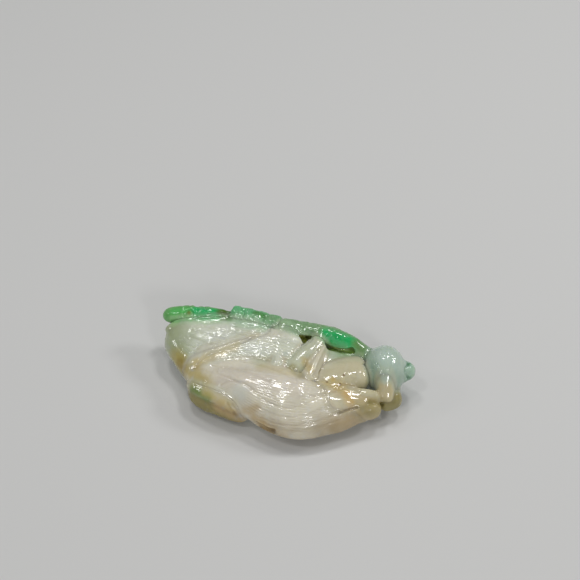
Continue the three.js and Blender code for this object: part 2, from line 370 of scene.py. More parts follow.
def lay_spine(spine, breadth, thickness, breadth_shares=(1, 1), thickness_shares=(1, 1)):
    """A row of edges that carries half the breadth and half the thickness at each point."""
    spine_row = edge_row([place(shares) for shares in spine])
    halves = np.zeros((SPINE_POINTS, 3))
    halves[:, 0] = 0.5 * breadth * smooth_shares(breadth_shares)
    halves[:, 1] = 0.5 * thickness * smooth_shares(thickness_shares)
    kept_halves = spine_row.data.attributes.new("half_sizes", "FLOAT_VECTOR", "POINT")
    kept_halves.data.foreach_set("vector", halves.ravel())
    return spine_row


# %% [markdown]
# A flat grid is the start of the skin: one way of it runs along the spine, the other goes
# round. Each grid point keeps a note of where it lies, as *along*, *across* and *rise*,
# because the engraved lines will follow these notes later on.

# %% The tree that makes an element from its spine
SEAM_MERGE_MM = 0.0005
DOME_SHARE = 0.16

element_tree, given = new_tree("carved_element", "GeometryNodeTree", {
    "Spine": "Geometry", "Lean": 0.0, "Squareness": 2.0,
    "Start Dome": DOME_SHARE, "End Dome": DOME_SHARE, "Rings": 110, "Around": 73,
})
spine_curve = put(element_tree, "GeometryNodeMeshToCurve", {"Mesh": given["Spine"]})
flat = put(element_tree, "GeometryNodeMeshGrid", {
    "Size X": 1.0, "Size Y": 1.0, "Vertices X": given["Rings"], "Vertices Y": given["Around"],
})
flat_place = put(element_tree, "GeometryNodeInputPosition")
flat_parts = put(element_tree, "ShaderNodeSeparateXYZ", {"Vector": flat_place.outputs[0]})
# Rings crowd towards the domed ends, where the skin turns fastest.
along = ((Flow(flat_parts.outputs["X"]) + 0.5) * math.pi).of("COSINE") * -0.5 + 0.5
turn = (Flow(flat_parts.outputs["Y"]) + 0.5) * (2 * math.pi)
halves_noted = kept(element_tree, "half_sizes", "FLOAT_VECTOR")
on_spine = put(element_tree, "GeometryNodeSampleCurve", {
    "Curves": spine_curve.outputs[0], "Value": halves_noted, "Factor": along,
}, mode="FACTOR", data_type="FLOAT_VECTOR")
half = put(element_tree, "ShaderNodeSeparateXYZ", {"Vector": on_spine.outputs["Value"]})
ahead = Flow(on_spine.outputs["Tangent"])
upwards = Flow(put(element_tree, "ShaderNodeCombineXYZ", {"Z": 1.0}).outputs[0])
level = arrows("NORMALIZE", arrows("CROSS_PRODUCT", ahead, upwards))
upright = arrows("CROSS_PRODUCT", level, ahead)
cosine, sine = ((given["Lean"] * (math.pi / 180)).of(name) for name in ("COSINE", "SINE"))
side = arrows("SUBTRACT", arrows("SCALE", level, cosine), arrows("SCALE", upright, sine))
top = arrows("ADD", arrows("SCALE", upright, cosine), arrows("SCALE", level, sine))
inset = (along / given["Start Dome"]).at_most((1.0 - along) / given["End Dome"]).at_most(1.0)
dome = (1.0 - (1.0 - inset) * (1.0 - inset)).at_least(0.0).of("SQRT")
roundness = 2.0 / given["Squareness"]
across = turn.of("COSINE").of("SIGN") * turn.of("COSINE").of("ABSOLUTE") ** roundness
rise = turn.of("SINE").of("SIGN") * turn.of("SINE").of("ABSOLUTE") ** roundness
sideways = arrows("SCALE", side, Flow(half.outputs["X"]) * dome * across)
skywards = arrows("SCALE", top, Flow(half.outputs["Y"]) * dome * rise)
skin_place = arrows("ADD", Flow(on_spine.outputs["Position"]), arrows("ADD", sideways, skywards))
skin = flat.outputs[0]
for title, value in (("along", along), ("across", across), ("rise", rise)):
    skin = keep(element_tree, skin, title, value)
placed = put(element_tree, "GeometryNodeSetPosition", {"Geometry": skin, "Position": skin_place})
closed = put(element_tree, "GeometryNodeMergeByDistance", {
    "Geometry": placed.outputs[0], "Distance": SEAM_MERGE_MM,
})
close_tree(element_tree, closed.outputs[0])


def carve(spine, breadth, thickness, breadth_shares=(1, 1), thickness_shares=(1, 1),
          lean=0.0, squareness=2.0, domes=(DOME_SHARE, DOME_SHARE)):
    """A closed element, its faces pointing out."""
    element = lay_spine(spine, breadth, thickness, breadth_shares, thickness_shares)
    work(element, element_tree, lean=lean, squareness=squareness, start_dome=domes[0], end_dome=domes[1])
    settle(element)
    return face_out(element)


def face_out(thing):
    """Turns the faces of a closed mesh outwards if they point in."""
    shell = bmesh.new()
    shell.from_mesh(thing.data)
    if shell.calc_volume(signed=True) < 0:
        bmesh.ops.reverse_faces(shell, faces=shell.faces)
    shell.to_mesh(thing.data)
    shell.free()
    return thing


EGG_MERIDIANS, EGG_PARALLELS = 96, 48


def egg(centre_mm, sizes_mm, turn_deg=0.0):
    """An ellipsoid, turned about the upright axis."""
    thing = new_object("egg", [])
    shell = bmesh.new()
    bmesh.ops.create_uvsphere(shell, u_segments=EGG_MERIDIANS, v_segments=EGG_PARALLELS, radius=0.5)
    shell.transform(Matrix.Diagonal((*sizes_mm, 1.0)))
    shell.transform(Matrix.Rotation(math.radians(turn_deg), 4, "Z"))
    shell.transform(Matrix.Translation(Vector(centre_mm)))
    shell.to_mesh(thing.data)
    shell.free()
    return face_out(thing)


# %% [markdown]
# The head is an egg, wider across than it is long, and the eye is a bead let halfway into
# it. A carver leaves a low collar round the eye, which the CAD model does without.

# %% Head and eye
HEAD_MM = (8.5, 10.4, 10.4)
HEAD_TURN_DEG = 22.0
EYE_MM = 4.1
EYE_COLLAR_MM = (1.7, 4.9, 4.9)
EYE_COLLAR_SHARE = 0.93

head_centre = Vector(place(HEAD_CENTRE_SHARES))
eye_arrow = Vector((0.944, 0.322, -0.06)).normalized()
head = {
    "head": egg(head_centre, HEAD_MM, HEAD_TURN_DEG),
    "eye_bead": egg(head_centre + eye_arrow * HEAD_MM[0] / 2, (EYE_MM,) * 3),
    "eye_collar": egg(head_centre + eye_arrow * (EYE_COLLAR_SHARE * HEAD_MM[0] / 2), EYE_COLLAR_MM,
                      HEAD_TURN_DEG),
}

# %% [markdown]
# The forequarters: the shield over the cricket's neck, and the front legs that are folded
# under the chin. They are carved from the honey-coloured end of the pebble. Saddles, swells
# and shoulders, here and further on, are the stone that a carver leaves standing between
# two forms. The CAD model does without them.

# %% Forequarters
forequarters = {
    "pronotum_shield": carve(
        [(0.125, 0, 0.43), (0.206, 0.075, 0.5), (0.261, 0.15, 0.52), (0.33, 0.25, 0.49)],
        7.0, 5.8, (0.9, 1, 1, 0.98), (0.7, 0.92, 0.98, 0.93), squareness=2.5, domes=(0.3, 0.15)),
    "upper_arm": carve(
        [(0.25, -0.025, 0.56), (0.319, 0.002, 0.52), (0.362, 0.03, 0.49), (0.41, 0.065, 0.42)],
        3.2, 3.4),
    "lower_arm": carve(
        [(0.2, -0.11, 0.5), (0.27, -0.085, 0.48), (0.335, -0.055, 0.41), (0.425, 0.002, 0.3)],
        4.2, 4.6, (0.7, 0.9, 1.05, 1.05), domes=(0.2, 0.2)),
    "foreleg": carve(
        [(0.4, 0.27, 0.68), (0.413, 0.175, 0.59), (0.423, 0.121, 0.46), (0.426, 0.082, 0.345)],
        3.0, 3.2, (0.5, 0.75, 1.05, 1.2), squareness=2.8),
    "forefoot": carve(
        [(0.4, 0.085, 0.27), (0.437, 0.14, 0.275), (0.472, 0.21, 0.3)],
        4.2, 4.2, domes=(0.4, 0.4)),
    "arm_saddle": carve(
        shares_at([(10.6, -3.4, 7.3), (13.6, -2.7, 7.15), (16.2, -2.1, 6.8), (18.6, -1.7, 6.5),
                   (20.9, -1.0, 5.8)]),
        4.6, 2.6, (0.8, 1, 1, 1, 0.9)),
    "arm_swell": egg((15.0, -4.3, 6.9), (5.6, 3.6, 2.9), 20.0),
    "neck_saddle": carve(
        [(0.03, -0.06, 0.44), (0.11, -0.05, 0.46), (0.19, -0.02, 0.47), (0.27, 0.02, 0.47)],
        5.0, 5.6, (0.7, 1, 1, 0.8)),
}

# %% [markdown]
# The body: two folded wings, the thorax between them and the neck, a hind leg bent like a
# roof, and a middle leg. The near wing is the broadest form of the whole carving.

# %% Body
body = {
    "near_wing": carve(
        [(-0.315, -0.19, 0.4), (-0.197, -0.2, 0.48), (-0.085, -0.21, 0.51), (0.026, -0.245, 0.49),
         (0.136, -0.26, 0.47), (0.247, -0.19, 0.385), (0.37, -0.074, 0.3)],
        13.0, 6.6, (0.22, 0.44, 0.65, 0.92, 0.94, 0.64, 0.4), (0.45, 0.75, 0.95, 1, 1, 0.8, 0.6),
        lean=30.0, domes=(0.1, 0.14)),
    "far_wing": carve(
        [(-0.325, -0.1, 0.43), (-0.245, -0.03, 0.49), (-0.165, 0.045, 0.54), (-0.085, 0.12, 0.58),
         (0, 0.14, 0.59), (0.1, 0.13, 0.56)],
        10.6, 4.6, (0.25, 0.5, 0.75, 0.95, 1, 0.9), lean=12.0),
    "far_wing_edge": carve(
        [(-0.3, -0.04, 0.52), (-0.279, 0.02, 0.585), (-0.207, 0.115, 0.648), (-0.141, 0.22, 0.69),
         (-0.09, 0.33, 0.71)],
        1.2, 1.3),
    "thorax": carve(
        [(0.075, 0.12, 0.45), (0.145, 0.215, 0.46), (0.221, 0.285, 0.46), (0.305, 0.35, 0.43)],
        6.0, 5.6, (0.9, 1, 1, 0.8), squareness=2.5, domes=(0.14, 0.1)),
    "hind_thigh": carve(
        [(0.054, 0.02, 0.61), (0.082, 0.13, 0.7), (0.104, 0.222, 0.752), (0.13, 0.37, 0.74)],
        3.6, 3.2, (0.9, 1, 0.95, 0.8), squareness=2.5),
    "hind_shin": carve(
        [(0.142, 0.34, 0.72), (0.142, 0.208, 0.735), (0.14, 0.074, 0.73), (0.139, -0.06, 0.69)],
        2.8, 2.6, (1.1, 1, 0.95, 1.2)),
    "middle_leg": carve(
        [(-0.02, 0.3, 0.69), (-0.01, 0.208, 0.7), (0.002, 0.085, 0.715), (0.012, -0.01, 0.725)],
        1.7, 2.0, (1, 0.9, 1, 1.6), (0.9, 0.9, 1, 1.3)),
    "arch_foot": carve(
        shares_at([(-3.6, 7.2, 8.9), (-1.6, 7.1, 9.0), (0.6, 7.3, 8.9), (2.6, 7.9, 8.5), (4.4, 8.7, 7.9)]),
        7.4, 2.8, (0.8, 1, 1, 0.9, 0.7), lean=12.0, domes=(0.2, 0.12)),
    "wing_saddle": carve(
        shares_at([(-15.4, -5.0, 6.2), (-11.4, -3.7, 7.2), (-7.0, -2.8, 8.0), (-2.5, -2.5, 8.4),
                   (1.6, -2.7, 8.6), (5.4, -3.0, 8.4), (8.8, -3.0, 7.8)]),
        5.4, 2.6, (0.8, 1, 1, 1, 0.95, 0.8, 0.6)),
    "tail_saddle": carve(
        shares_at([(-17.2, -3.2, 5.0), (-16.0, -4.9, 5.0), (-14.8, -6.5, 5.0), (-13.2, -7.4, 5.1)]),
        3.2, 2.6, (0.8, 1, 1, 0.8)),
}

# %% [markdown]
# The leaf: a broad blade with a fold under the near wing. Behind the cricket a low wall
# stands up from the blade and carries the curled rim.

# %% Leaf
leaf = {
    "leaf_blade": carve(
        [(-0.455, 0.24, 0.5), (-0.363, 0.155, 0.42), (-0.27, 0.105, 0.375), (-0.165, 0.08, 0.35),
         (-0.063, 0.07, 0.33), (0.038, 0.06, 0.31), (0.14, 0.07, 0.28), (0.235, 0.1, 0.25),
         (0.32, 0.14, 0.23)],
        20.0, 8.2,
        (0.4, 0.56, 0.82, 0.96, 1, 1, 0.94, 0.78, 0.55), (0.7, 0.9, 1, 1, 1, 1, 0.95, 0.9, 0.8),
        lean=20.0, squareness=2.4, domes=(0.08, 0.1)),
    "leaf_front_fold": carve(
        [(-0.292, -0.243, 0.288), (-0.228, -0.296, 0.248), (-0.163, -0.32, 0.24), (-0.092, -0.346, 0.216),
         (-0.046, -0.36, 0.176)],
        4.4, 4.8, (0.8, 1, 1, 0.9, 0.6), (0.8, 1, 1, 0.9, 0.6), domes=(0.16, 0.1)),
    "leaf_shoulder": carve(
        shares_at([(-25.8, 3.5, 6.9), (-22.0, 5.3, 7.5), (-18.8, 6.4, 7.9), (-15.0, 7.2, 8.2),
                   (-11.0, 7.4, 8.7), (-7.0, 7.4, 9.0), (-3.2, 7.8, 9.0)]),
        4.0, 2.6, (0.65, 0.9, 1, 1, 1, 1, 0.8)),
    "fold_shoulder": carve(
        shares_at([(-15.9, -7.3, 4.4), (-13.3, -8.7, 5.1), (-10.6, -9.4, 5.5), (-8.0, -9.9, 5.5),
                   (-5.6, -10.4, 5.0), (-3.8, -10.9, 4.0)]),
        3.2, 2.4, (0.7, 1, 1, 1, 0.9, 0.6)),
    "leaf_back_wall": carve(
        [(-0.12, 0.449, 0.43), (0, 0.452, 0.42), (0.1, 0.452, 0.41), (0.2, 0.445, 0.39),
         (0.27, 0.42, 0.36)],
        2.8, 7.2, (0.6, 0.9, 1, 0.9, 0.6), (0.6, 0.9, 1, 0.9, 0.6), lean=-35.0, domes=(0.3, 0.3)),
}

# %% [markdown]
# The rim: a roll at the leaf's tip, a blunt scroll, and an arch that bridges from there to
# the cricket's head, with openings under it.

# %% Rim
rim = {
    "leaf_rim_roll": carve(
        [(-0.497, 0.272, 0.62), (-0.447, 0.314, 0.67), (-0.398, 0.343, 0.7), (-0.339, 0.378, 0.71),
         (-0.285, 0.4, 0.7), (-0.238, 0.414, 0.68)],
        3.1, 3.1, (1.05, 1.05, 0.98, 0.88, 0.75), (1.05, 1.05, 0.98, 0.88, 0.75),
        domes=(0.14, 0.08)),
    "leaf_rim_scroll": carve(
        [(-0.245, 0.438, 0.705), (-0.185, 0.432, 0.715), (-0.119, 0.429, 0.725), (-0.04, 0.433, 0.73)],
        3.7, 4.0, (1, 1, 0.95, 0.85), squareness=2.8, domes=(0.06, 0.06)),
    "leaf_rim_arch": carve(
        [(-0.049, 0.425, 0.74), (0.017, 0.437, 0.76), (0.083, 0.435, 0.77), (0.146, 0.433, 0.765),
         (0.202, 0.424, 0.742), (0.251, 0.42, 0.702), (0.287, 0.414, 0.615), (0.31, 0.385, 0.5)],
        3.4, 3.8, (0.95, 0.9, 1, 1.1, 1.25, 1.2, 1, 1.05), (0.85, 0.85, 0.95, 1.1, 1.2, 1.1, 0.92, 1),
        domes=(0.06, 0.1)),
}
elements = {**head, **forequarters, **body, **leaf, **rim}
print(len(elements), "elements carved")

# %% [markdown]
# Next to what is left standing comes what is taken away. The two openings under the arch
# were drilled slanting from above and filed to a triangle and to a slot. Each is made as a
# solid first, an outline drawn out along the drill, and is then taken out by a boolean: once
# before the stone is smoothed, and again afterwards, because smoothing half closes it.

# %% Openings
DRILL_ELEVATION_DEG = 49.0
DRILL_LEVEL_MM = 8.8
DRILL_RISE_MM = 3.4
DRILL_DEPTH_MM = 1.7


def opening(outline_mm):
    """A prism on a rounded outline that was drawn at the drill's level."""
    # The path passes the first corner twice, and the stretch between is the closed outline.
    # A penalty that grows towards one end of the path picks the pass at the other end.
    looped = [*outline_mm[-2:], *outline_mm, *outline_mm[:2]]
    path = smooth_path([(x, y, DRILL_LEVEL_MM) for x, y in looped])
    to_corner = np.linalg.norm(path - (*outline_mm[0], DRILL_LEVEL_MM), axis=1)
    penalty = np.linspace(0, 2, SPINE_POINTS)
    ring = path[np.argmin(to_corner + penalty):np.argmin(to_corner + penalty[::-1])]
    count = len(ring)
    arrow = np.array(towards(CAMERA_AZIMUTH_DEG, DRILL_ELEVATION_DEG))
    walls = [(i, (i + 1) % count, count + (i + 1) % count, count + i) for i in range(count)]
    caps = [tuple(range(count - 1, -1, -1)), tuple(range(count, 2 * count))]
    vertices = [*(ring - arrow * DRILL_DEPTH_MM), *(ring + arrow * DRILL_RISE_MM)]
    return face_out(new_object("opening", vertices, faces=walls + caps))


openings = {
    "triangle": opening([
        (2.02, 9.51), (3.22, 9.86), (4.73, 9.99), (4.26, 8.76), (3.79, 7.53), (2.87, 8.43),
    ]),
    "slot": opening([
        (7.84, 9.23), (9.05, 8.89), (10.63, 8.76), (12.3, 9.0), (13.58, 9.75),
        (14.41, 9.22), (14.48, 8.31), (12.63, 7.97), (10.56, 7.62), (9.03, 7.64),
    ]),
}
DRILLED = ("jade_leaf", "jade_leaf_rim", "jade_cricket")
print(len(openings), "openings")

# %% [markdown]
# A boolean union would leave hard creases. The Remesh modifier in voxel mode wraps one even
# skin around a whole set of elements instead. Its grain has to be finer than the engraved
# lines, which are under 1 mm apart, and coarse enough to keep a piece under 200,000
# triangles, so the stone is made in five pieces that follow its five tones.

# %% Fuse a set of elements
GRAIN_MM = {
    "jade_leaf": 0.18, "jade_leaf_rim": 0.13, "jade_cricket": 0.165, "jade_forequarters": 0.14,
    "jade_head": 0.13,
}

shell_tree, given = new_tree("keep_main_shell", "GeometryNodeTree", {
    "Stone": "Geometry", "Smallest Share": 0.2,
})
island = put(shell_tree, "GeometryNodeInputMeshIsland")
of_island = put(shell_tree, "GeometryNodeAccumulateField", {
    "Value": 1.0, "Group ID": island.outputs["Island Index"],
}, data_type="FLOAT", domain="POINT")
of_stone = put(shell_tree, "GeometryNodeAccumulateField", {"Value": 1.0}, data_type="FLOAT", domain="POINT")
share_of_stone = Flow(of_island.outputs["Total"]) / Flow(of_stone.outputs["Total"])
main_shell = put(shell_tree, "GeometryNodeDeleteGeometry", {
    "Geometry": given["Stone"],
    "Selection": maths(shell_tree, "LESS_THAN", share_of_stone, given["Smallest Share"]),
}, domain="POINT")
close_tree(shell_tree, main_shell.outputs[0])


def lump_of(name, parts):
    """The meshes of several objects in one."""
    lump = bmesh.new()
    for part in parts:
        lump.from_mesh(part.data)
    joined = new_object(name, [])
    lump.to_mesh(joined.data)
    lump.free()
    return joined


def wrap(stone, grain):
    """Adds the Remesh modifier."""
    step = stone.modifiers.new("skin", "REMESH")
    step.mode = "VOXEL"
    step.voxel_size = grain


def drill(stone):
    """Takes the openings out of a stone, where they reach it."""
    if stone.name in DRILLED:
        cutter = lump_of(stone.name + "_cutter", openings.values())
        step = stone.modifiers.new("drill", "BOOLEAN")
        step.operation = "DIFFERENCE"
        step.solver = "MANIFOLD"
        step.object = cutter
        settle(stone)
        bpy.data.objects.remove(cutter)


def fuse(name, parts):
    """One even skin around a set of elements, less the openings and what it shuts inside."""
    stone = lump_of(name, parts.values())
    wrap(stone, GRAIN_MM[name])
    settle(stone)
    drill(stone)
    wrap(stone, GRAIN_MM[name])
    work(stone, shell_tree)
    settle(stone)
    print(name, "has", 2 * len(stone.data.polygons), "triangles")
    return stone


PARTS = {
    "jade_leaf": leaf, "jade_leaf_rim": rim, "jade_cricket": body, "jade_forequarters": forequarters,
    "jade_head": head,
}
stones = {name: fuse(name, parts) for name, parts in PARTS.items()}

# %% [markdown]
# Files and polish round a carving off, but mostly in its creases, where grit gathers. The
# tree below blurs the places of all points and lets a point move only outwards, so hollows
# fill softly and ridges stay. It also notes how hollow each place was, for the stain later.

# %% Soften the hollows
SOFTEN_ROUNDS = (260, 60)
POLISH_BEFORE, POLISH_AFTER = 3, 4

soften_tree, given, here, facing = stone_tree("soften_hollows", {
    "Rounds": 40, "Strength": 1.0, "Full Hollow": 0.25,
})
blurred = Flow(put(soften_tree, "GeometryNodeBlurAttribute", {
    "Value": here, "Iterations": given["Rounds"],
}, data_type="FLOAT_VECTOR").outputs[0])
hollow = arrows("DOT_PRODUCT", arrows("SUBTRACT", blurred, here), facing).at_least(0.0)
hollow_share = kept(soften_tree, "hollow").at_least(hollow / given["Full Hollow"]).at_most(1.0)
with_note = keep(soften_tree, given["Stone"], "hollow", hollow_share)
close_tree(soften_tree, push(soften_tree, with_note, facing, hollow * given["Strength"]))


def polish(stone, rounds):
    """Evens out a skin with the Smooth modifier."""
    step = stone.modifiers.new("polish", "SMOOTH")
    step.iterations = rounds


for stone in stones.values():
    polish(stone, POLISH_BEFORE)
    for rounds in SOFTEN_ROUNDS:
        work(stone, soften_tree, rounds=rounds)
    polish(stone, POLISH_AFTER)
    settle(stone)

# %% [markdown]
# Where two of the pieces meet, each one swells a little towards the other, just as much as
# a smooth blend of both would. So the crease between them is a soft valley as well.

# %% Blend neighbours
BLENDS_MM = (2.4, 1.0)
SWELL_SHARE = 0.25
EARLIER_MARK_SHARE = 0.5
POLISH_BLENDED = 2

blend_tree, given, here, facing = stone_tree("meet_neighbours", {"Neighbours": "Collection", "Blend": 1.2})
around = meshes_of(blend_tree, given["Neighbours"])
their_normal = put(blend_tree, "GeometryNodeInputNormal").outputs[0]
their_facing = at_nearest(blend_tree, around, their_normal, "FLOAT_VECTOR")
closeness = (1.0 - distance_to(blend_tree, around) / given["Blend"]).at_least(0.0)
swell = closeness * closeness * given["Blend"] * SWELL_SHARE
between = arrows("NORMALIZE", arrows("ADD", facing, their_facing))
met_before = kept(blend_tree, "meeting") * EARLIER_MARK_SHARE
with_note = keep(blend_tree, given["Stone"], "meeting", closeness.at_least(met_before))
close_tree(blend_tree, push(blend_tree, with_note, between, swell))

rough, neighbours_of = {}, {}
for name in stones:
    neighbours_of[name] = bpy.data.collections.new("neighbours_of_" + name)
    bpy.context.scene.collection.children.link(neighbours_of[name])


def copy_stones():
    """Sets the rough copies, which the trees take for the neighbours, to how the stones are now."""
    for name, stone in stones.items():
        if name in rough:
            bpy.data.objects.remove(rough[name])
        rough[name] = bpy.data.objects.new(name + "_rough", stone.data.copy())
        for other in stones:
            if other != name:
                neighbours_of[other].objects.link(rough[name])


for blend_mm in BLENDS_MM:
    copy_stones()
    for name, stone in stones.items():
        work(stone, blend_tree, neighbours=neighbours_of[name], blend=blend_mm)
    for stone in stones.values():
        settle(stone)
for stone in stones.values():
    drill(stone)
    polish(stone, POLISH_BLENDED)
    settle(stone)
print("blended", len(stones), "pieces over", BLENDS_MM, "mm")

# %% [markdown]
# Wing ribs and leaf veins are shallow lines cut side by side with a small wheel. They follow
# the element that they lie on, so the tree reads the *across* note of the nearest place on
# that element, and a cosine of it gives the row of grooves. The lines fade out where the
# stone leaves the element, and a slow noise makes them as uneven as handwork.

# %% Engrave lines along an element
SHAKE_PER_MM, WEAR_PER_MM = 0.35, 0.5
SHAKE_LINES = 4.0
BEND_FROM = 0.45
UNDERSIDE_RISE, UPPER_RISE = -0.1, 0.15
WORN_NOISE, FRESH_NOISE = 0.4, 0.62
FAINTEST = 0.15
OUTSIDE_END, INSIDE_END = 0.08, 0.04
SIDE_FADE = 0.06
NEAR_SHARE, BARE_SHARE = 0.3, 0.7

engrave_tree, given, here, facing = stone_tree("engraved_lines", {
    "Element": "Object", "Lines": 16.0, "Slant": 0.0, "Bend": 0.0, "Depth": 0.1, "Sharpness": 2.0,
    "Reach": 0.8, "Start": 0.1, "End": 0.9, "Lowest": -0.8, "Highest": 0.8, "Unsteadiness": 0.25,
    "Bare Centre": (0.0, 0.0, 99.0), "Bare Reach": 2.0, "Seed": 0.0,
})
pattern = mesh_of(engrave_tree, given["Element"])
along_here, across_here, rise_here = (
    at_nearest(engrave_tree, pattern, kept(engrave_tree, name)) for name in ("along", "across", "rise")
)
shaky = noise(engrave_tree, here, SHAKE_PER_MM, 1.0, given["Seed"]) - 0.5
beyond = (along_here - BEND_FROM).at_least(0.0)
phase = (across_here * given["Lines"] * 0.5 + along_here * given["Slant"] + beyond * beyond * given["Bend"]
         + shaky * given["Unsteadiness"] * SHAKE_LINES) * (2 * math.pi)
groove = (phase.of("COSINE") * 0.5 + 0.5) ** given["Sharpness"]
worn = noise(engrave_tree, here, WEAR_PER_MM, 1.0, given["Seed"] + 5.0)
from_bare_centre = arrows("LENGTH", arrows("SUBTRACT", here, given["Bare Centre"]))
fade = (
    distance_to(engrave_tree, pattern).ramp(given["Reach"], given["Reach"] * NEAR_SHARE)
    * along_here.ramp(given["Start"] - OUTSIDE_END, given["Start"] + INSIDE_END)
    * along_here.ramp(given["End"] + OUTSIDE_END, given["End"] - INSIDE_END)
    * across_here.ramp(given["Lowest"] - SIDE_FADE, given["Lowest"] + SIDE_FADE)
    * across_here.ramp(given["Highest"] + SIDE_FADE, given["Highest"] - SIDE_FADE)
    * rise_here.ramp(UNDERSIDE_RISE, UPPER_RISE)
    * from_bare_centre.ramp(given["Bare Reach"] * BARE_SHARE, given["Bare Reach"])
    * (worn.ramp(WORN_NOISE, FRESH_NOISE) * (1.0 - FAINTEST) + FAINTEST)
)


def scratch(tree, given, facing, cut):
    """Sinks the skin by a share of the depth, and keeps that share for the grit."""
    with_note = keep(tree, given["Stone"], "groove", kept(tree, "groove").at_least(cut))
    return push(tree, with_note, facing, cut * given["Depth"] * -1.0)


close_tree(engrave_tree, scratch(engrave_tree, given, facing, groove * fade))

work(stones["jade_cricket"], engrave_tree, element=body["near_wing"], lines=22.0, bend=24.0, depth=0.08,
     sharpness=1.4, reach=1.2, start=0.1, end=0.84, lowest=-0.9, highest=0.85, unsteadiness=0.28, seed=1.0,
     bare_centre=(-4.8, -9.3, 7.9), bare_reach=2.6)
work(stones["jade_cricket"], engrave_tree, element=body["far_wing"], lines=14.0, slant=-1.5, depth=0.13,
     sharpness=1.5, reach=1.4, start=0.12, end=0.95, lowest=-0.7, seed=2.0, unsteadiness=0.18)
work(stones["jade_leaf"], engrave_tree, element=leaf["leaf_blade"], lines=34.0, slant=1.0, depth=0.17,
     sharpness=1.7, reach=1.5, start=0.1, end=0.6, lowest=-0.85, highest=0.55, seed=4.0, unsteadiness=0.18)
for stone in stones.values():
    settle(stone)

# %% [markdown]
# Where a mark sits was read off the photograph. The camera stands where the photograph's
# did, so a place in the picture, counted in pixels from its top left corner, can be carried
# along the line of sight until it meets the stone.

# %% From the picture to the stone
def skins():
    """The skins of all pieces as they are now, for rays to be cast at."""
    bpy.context.view_layer.update()
    now = bpy.context.evaluated_depsgraph_get()
    return [BVHTree.FromObject(stone, now) for stone in stones.values()]


def on_stone(seen, pixel):
    """The place in millimetres that shows at a pixel, or the nearest one if the sight goes past."""
    across, down = (count - IMAGE_PIXELS / 2 for count in pixel)
    aimed_at = AIM_MM + camera_turn @ Vector((across, -down, 0.0)) * MM_PER_PIXEL
    sight = (aimed_at - camera_mm).normalized()
    casts = [skin.ray_cast(camera_mm, sight) for skin in seen]
    hits = [cast for cast in casts if cast[0] is not None]
    hits = hits or [skin.find_nearest(aimed_at) for skin in seen]
    place_mm, _, _, _ = min(hits, key=lambda hit: hit[3])
    return place_mm


# %% [markdown]
# Between the rows of lines there are single ones, drawn with a graver: the seam of the far
# wing, the curve over the near wing's bare patch, the creases beside the legs. Each is a
# curve on the skin. A point is as far from it as it looks from the front, so a line keeps
# its width on a slope, and it fades where it would come out on another side.

# %% Single graver lines
LINE_SPREAD = 1.3
LINE_REACH_MM = (2.2, 1.2)
FACING_AWAY, FACING_FRONT = 0.0, 0.3

line_tree, given, here, facing = stone_tree("graver_line", {
    "Line": "Object", "Half Width": 0.35, "Depth": 0.15, "Front": (0.0, 0.0, 1.0),
})
drawn = mesh_of(line_tree, given["Line"])
towards_front = arrows("DOT_PRODUCT", here, given["Front"])
pressed_flat = arrows("SUBTRACT", here, arrows("SCALE", given["Front"], towards_front))
flat_line = put(line_tree, "GeometryNodeSetPosition", {"Geometry": drawn, "Position": pressed_flat})
beside = put(line_tree, "GeometryNodeProximity", {
    0: flat_line.outputs[0], "Sample Position": pressed_flat,
}, target_element="EDGES")
scored = (
    Flow(beside.outputs["Distance"]).ramp(given["Half Width"] * LINE_SPREAD, 0.0)
    * distance_to(line_tree, drawn, "EDGES").ramp(*LINE_REACH_MM)
    * arrows("DOT_PRODUCT", facing, given["Front"]).ramp(FACING_AWAY, FACING_FRONT)
)
close_tree(line_tree, scratch(line_tree, given, facing, scored))

